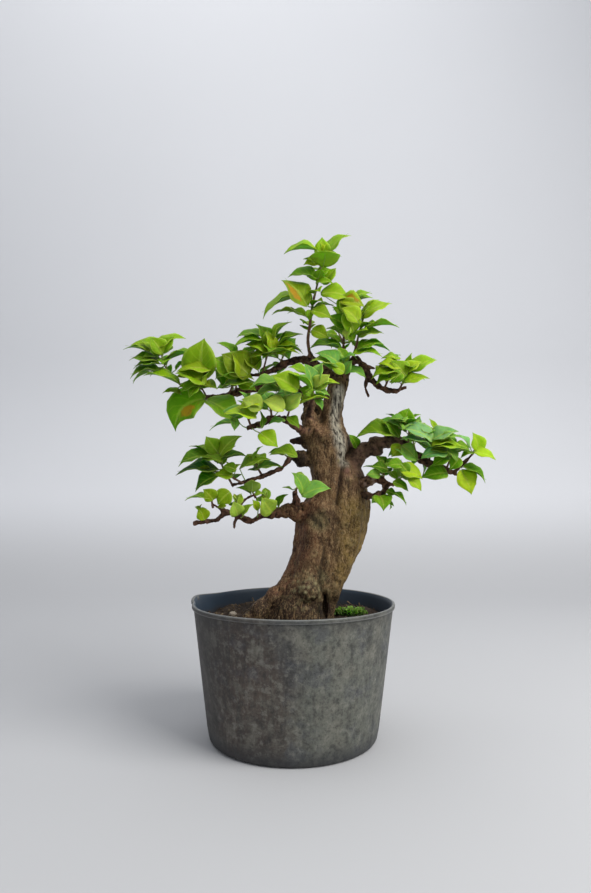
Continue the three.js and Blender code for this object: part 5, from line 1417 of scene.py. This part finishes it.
# A painted highlight: a light rim along the blade's margins.
painted_margin_highlight = leaf_top.step(off_middle, 0.80, 0.98)
mottle = leaf_top.noise(160.0, 4.0, 0.6)
blotch_place = ((across - 0.30).math("ABSOLUTE") * 1.5 + (along - 0.45).math("ABSOLUTE")) * -1 + 0.5
blotch = leaf_top.step(blotch_place + (leaf_top.noise(90.0, 5.0, 0.62) - 0.5) * 0.9, 0.16, 0.36)
blotch = blotch * leaf_top.named("blotch")
tint = leaf_top.named("tint", "Color")
colour = leaf_top.layers(
    leaf_top.blend(0.9, tint, leaf_top.blend(mottle, (0.62, 0.68, 0.62), (1.32, 1.26, 1.30)), "MULTIPLY"),
    (ribs * 0.15, (0.36, 0.50, 0.03)),
    (midrib * 0.34, (0.44, 0.56, 0.07)),
    (painted_margin_highlight * 0.30, (0.50, 0.60, 0.12)),
    (leaf_top.step(along, 0.30, 0.0) * 0.25, (0.36, 0.46, 0.05)),
    (leaf_top.step(mottle, 0.62, 0.74) * 0.20, (0.36, 0.40, 0.010)),
    (blotch * 0.8, (0.36, 0.16, 0.008)),
    (blotch * leaf_top.step(mottle, 0.5, 0.66) * 0.6, (0.14, 0.06, 0.012)),
)
relief = mottle * 0.4 + ribs * -0.3 + midrib * -0.5 + 0.6
LEAF_TOP = leaf_top.paint(colour, 0.50 + mottle * 0.12, relief, 0.25)

leaf_back = Finish("leaf_under_side", Specular_IOR_Level=0.12, **LEAF_GLOW)
mottle = leaf_back.noise(200.0, 3.0, 0.6)
tint = leaf_back.named("tint", "Color")
colour = leaf_back.layers(
    leaf_back.blend(1.0, tint, leaf_back.blend(mottle, (0.75, 0.72, 0.9), (0.95, 0.90, 1.2)), "MULTIPLY"),
    (0.16, (0.24, 0.34, 0.08)),
)
LEAF_BACK = leaf_back.paint(colour, 0.62, mottle, 0.12)

green_rib = Finish("green_petiole", Specular_IOR_Level=0.35)
tint = green_rib.named("tint", "Color")
mottle = green_rib.noise(300.0, 2.0)
colour = green_rib.blend(green_rib.step(mottle, 0.45, 0.7) * 0.5, (0.25, 0.40, 0.075), (0.30, 0.26, 0.07))
GREEN_RIB = green_rib.paint(colour, 0.5)

shoot_bark = Finish("young_bark", Specular_IOR_Level=0.3)
high = shoot_bark.named("fresh")
streaks = shoot_bark.noise(240.0, 4.0, 0.6)
colour = shoot_bark.layers(
    shoot_bark.blend(streaks, (0.080, 0.034, 0.022), (0.230, 0.120, 0.070)),
    (shoot_bark.step(high + (streaks - 0.5) * 0.8, 0.45, 1.0) * 0.75, (0.230, 0.300, 0.070)),
)
YOUNG_BARK = shoot_bark.paint(colour, 0.66, streaks, 0.2)

for owner, (name, shoot) in enumerate(SHOOTS.items()):
    chance = draws(shoot["seed"] + 500)
    route = Route(shoot["stem"])
    own = [(leaf, 0.0) for leaf in leaves[leaves[:, 9] == owner]]
    tip_way = route.heading(1.0)
    for order in range(4):
        # The newest leaves stand round the shoot's end.
        turn = GOLDEN_ANGLE * order + 6 * next(chance)
        start = route.at(route.even(0.93 + 0.02 * order))
        out = unit(np.array((math.cos(turn), math.sin(turn), 0.3)))
        length = 5 + 6 * next(chance)
        end = start + length * unit(out * 0.75 + tip_way)
        own.append((np.array([*start, *end, 0.3 + 0.3 * next(chance), 0.0, 0.8, owner, 0]), 1.0))
    body = bmesh.new()
    uv_layer = body.loops.layers.uv.new("UVMap")
    body.verts.layers.float_color.new("tint")
    blotch_layer = body.verts.layers.float.new("blotch")
    ribs = []
    for order, (leaf, newness) in enumerate(own):
        fold = 0.22 + 0.42 * next(chance) + 0.4 * newness
        given = shoot["leaves"][order] if order < len(shoot["leaves"]) else ()
        sway = shoot.get("swayed", {}).get(order, 0.2 * (next(chance) - 0.5))
        places = bent_blade(leaf, fold, 0.10 + 0.22 * next(chance), 6.3 * next(chance), sway)
        age = min(1.0, max(0.0, 0.15 + 0.75 * newness + 0.55 * (next(chance) - 0.35)))
        old, young = TONES[given[6] if len(given) > 6 else shoot["tone"]]
        colour = [a + (b - a) * age for a, b in zip(old, young)]
        varied = 0.5 if given else 1.0
        shade = 1 + varied * 0.66 * (next(chance) - 0.5)
        colour = shaded(colour, shade, varied * 0.24 * (next(chance) - 0.5))
        made, faces = add_blade(body, places, colour)
        for vertex in made:
            vertex[blotch_layer] = float(order in shoot.get("blotched", []))
        for face, corners in zip(faces, BLADE_FACES):
            for loop, corner in zip(face.loops, corners):
                loop[uv_layer].uv = (0.5 + 0.5 * BLADE_ACROSS[corner], BLADE_ALONG[corner])
        root, bow, tip, side, stalk, half = drawn_lay(leaf, sway)
        line = []
        if given:
            start = carrier(shoot, root)
            middle = start + (root - start) * 0.5 - np.array((0, 0, 0.06)) * math.dist(start, root)
            line += [(start, 0.62), (middle, 0.55)]
        for t in (0.0, stalk[0] * 0.5, stalk[0], stalk[0] + 0.2, stalk[0] + 0.45, 0.93):
            down = np.cross(side, unit((1 - t) * (bow - root) + t * (tip - bow)))
            place = on_line(root, bow, tip, t) + down * (0.15 - 0.35 * min(t / 0.3, 1))
            line.append((place, (0.52 - 0.42 * t) * (1 - 0.35 * newness)))
        ribs.append(line)
    spray = piece_of(body, "leafy_" + name)
    for material in (LEAF_TOP, LEAF_BACK):
        spray.data.materials.append(material)
    modified(spray, "SOLIDIFY", thickness=MM * LEAF["thick"], material_offset=1, material_offset_rim=0)

    stalks = tubes("stalks", ribs, 0)
    stalks.data.materials.append(GREEN_RIB)
    foot = shoot.get("foot", STEM["foot"]) * 0.8
    line = [(route.at(0.0) - 2.5 * route.heading(0.0), foot)]
    for share in np.linspace(0, 1, max(6, int(route.lengths[-1] / 2.5))):
        place = route.at(route.even(share))
        knuckle = 1 + 0.22 * noise.noise(Vector(place) / 2.6)
        line.append((place, (foot + (STEM["tip"] - foot) * share) * knuckle))
    stem = tubes("stem", [line], 1)
    fresh = stem.data.attributes.new("fresh", "FLOAT", "POINT")
    start, end = (Vector(route.at(t)) * MM for t in (0.0, 1.0))
    for value, vertex in zip(fresh.data, stem.data.vertices):
        value.value = (vertex.co - start).dot(end - start) / (end - start).length_squared
    stem.data.materials.append(YOUNG_BARK)
    select_only(spray, stalks, stem)
    bpy.ops.object.join()
    bpy.ops.object.shade_smooth()
    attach(spray, "root")
    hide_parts("spray_" + name)

# ---- The weeds ----
# A tuft of small round-leaved weeds has seeded itself beside the trunk, on a low cushion of moss. Each weed
# leaf is the same blade as the tree's, made short and broad.

WEEDS = {"at": (56, 4), "spread": (16, 9, 4.5), "seed": 5, "thick": 0.25}
# foot is how far a leaf starts off the ground, and the share of the cushion's rise that is added to it.
WEED_LEAVES = {"count": 40, "reach": 0.75, "lift": 0.9, "least": 5.04, "more": 1.68, "facing": 0.5,
    "width": 1.3, "foot": (0.5, 0.0), "tone": (0.085, 0.180, 0.020)}
MOSS_LEAVES = {"count": 170, "reach": 1.05, "lift": 0.75, "least": 1.4, "more": 2.2, "facing": 0.4,
    "width": 1.1, "foot": (0.0, 0.75), "tone": (0.022, 0.066, 0.008)}
cx, cy = WEEDS["at"]
wide, deep, rise = WEEDS["spread"]
ground = soil_height(cx, cy)
chance = draws(WEEDS["seed"])
weed_rows = []
for kind in (WEED_LEAVES, MOSS_LEAVES):
    off_ground, heaped = kind["foot"]
    for order in range(kind["count"]):
        turn = GOLDEN_ANGLE * order
        reach = math.sqrt((order + 0.5) / kind["count"]) * kind["reach"]
        out = np.array((math.cos(turn) * reach, math.sin(turn) * reach, kind["lift"]))
        height = ground + off_ground + heaped * rise * max(0.0, 1 - reach ** 2)
        root = np.array((cx + wide * out[0], cy + deep * out[1], height))
        tip = root + out * (kind["least"] + kind["more"] * next(chance))
        row = [*root, *tip, kind["facing"], (next(chance) - 0.5) * 2, kind["width"], 0, 0]
        weed_rows.append((np.array(row), kind["tone"]))
moss = pebble("moss", (cx, cy, ground - 0.4), [s * 0.9 for s in WEEDS["spread"]], 4)
for vertex in moss.data.vertices:
    vertex.co += vertex.co.normalized() * MM * 0.8 * noise.noise(vertex.co / MM / 1.6)
body = bmesh.new()
body.loops.layers.uv.new("UVMap")
body.verts.layers.float_color.new("tint")
for leaf, tone in weed_rows:
    places = bent_blade(leaf, 0.3, 0.15, 6.3 * next(chance))
    add_blade(body, places, shaded(tone, 0.35 + 1.6 * next(chance) ** 2, 0))
weeds = piece_of(body, "weed_tuft")
weeds.data.materials.append(LEAF_BACK)
modified(weeds, "SOLIDIFY", thickness=MM * WEEDS["thick"])

cushion = Finish("moss_cushion", Specular_IOR_Level=0.2)
tufts = cushion.noise(700.0, 4.0, 0.7)
colour = cushion.blend(tufts, (0.006, 0.012, 0.004), (0.040, 0.080, 0.014))
moss.data.materials.append(cushion.paint(colour, 0.95, tufts, 1.2))
select_only(weeds, moss)
bpy.ops.object.join()
bpy.ops.object.shade_smooth()
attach(weeds, "root")
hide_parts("weeds")

# ---- The stones ----
# Two small pebbles lie in the soil at the rim: a rough brown one at the right and a pale one at the left.

STONES = {
    "stone_brown": ((62, 24), (6, 5, 4), (0.190, 0.105, 0.060), 1.0),
    "stone_pale": ((-62, 22), (4, 3.4, 2.8), (0.360, 0.310, 0.250), 0.4),
}
for name, (at, size, tone, roughen) in STONES.items():
    middle = Vector((*at, soil_height(*at) + 0.25 * size[2]))
    stone = pebble("loose_" + name, middle, size, 5)
    for vertex in stone.data.vertices:
        spot = vertex.co / MM - middle
        pits = noise.fractal(spot / 3.0, 0.9, 2.0, 4) * 0.55 + 0.35 * noise.noise(spot / 1.4)
        vertex.co += spot.normalized() * MM * roughen * pits
    select_only(stone)
    bpy.ops.object.shade_smooth()
    rock = Finish(name + "_face", Specular_IOR_Level=0.3)
    grit = rock.noise(500.0, 5.0, 0.65)
    band = rock.noise(120.0, 3.0)
    dark, light = (tuple(c * k for c in tone) for k in (0.45, 1.5))
    colour = rock.blend(rock.step(band, 0.52, 0.66) * 0.5, rock.blend(grit, dark, light), (0.30, 0.22, 0.15))
    stone.data.materials.append(rock.paint(colour, 0.85, grit, 0.4))
    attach(stone, "root")
    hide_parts(name)
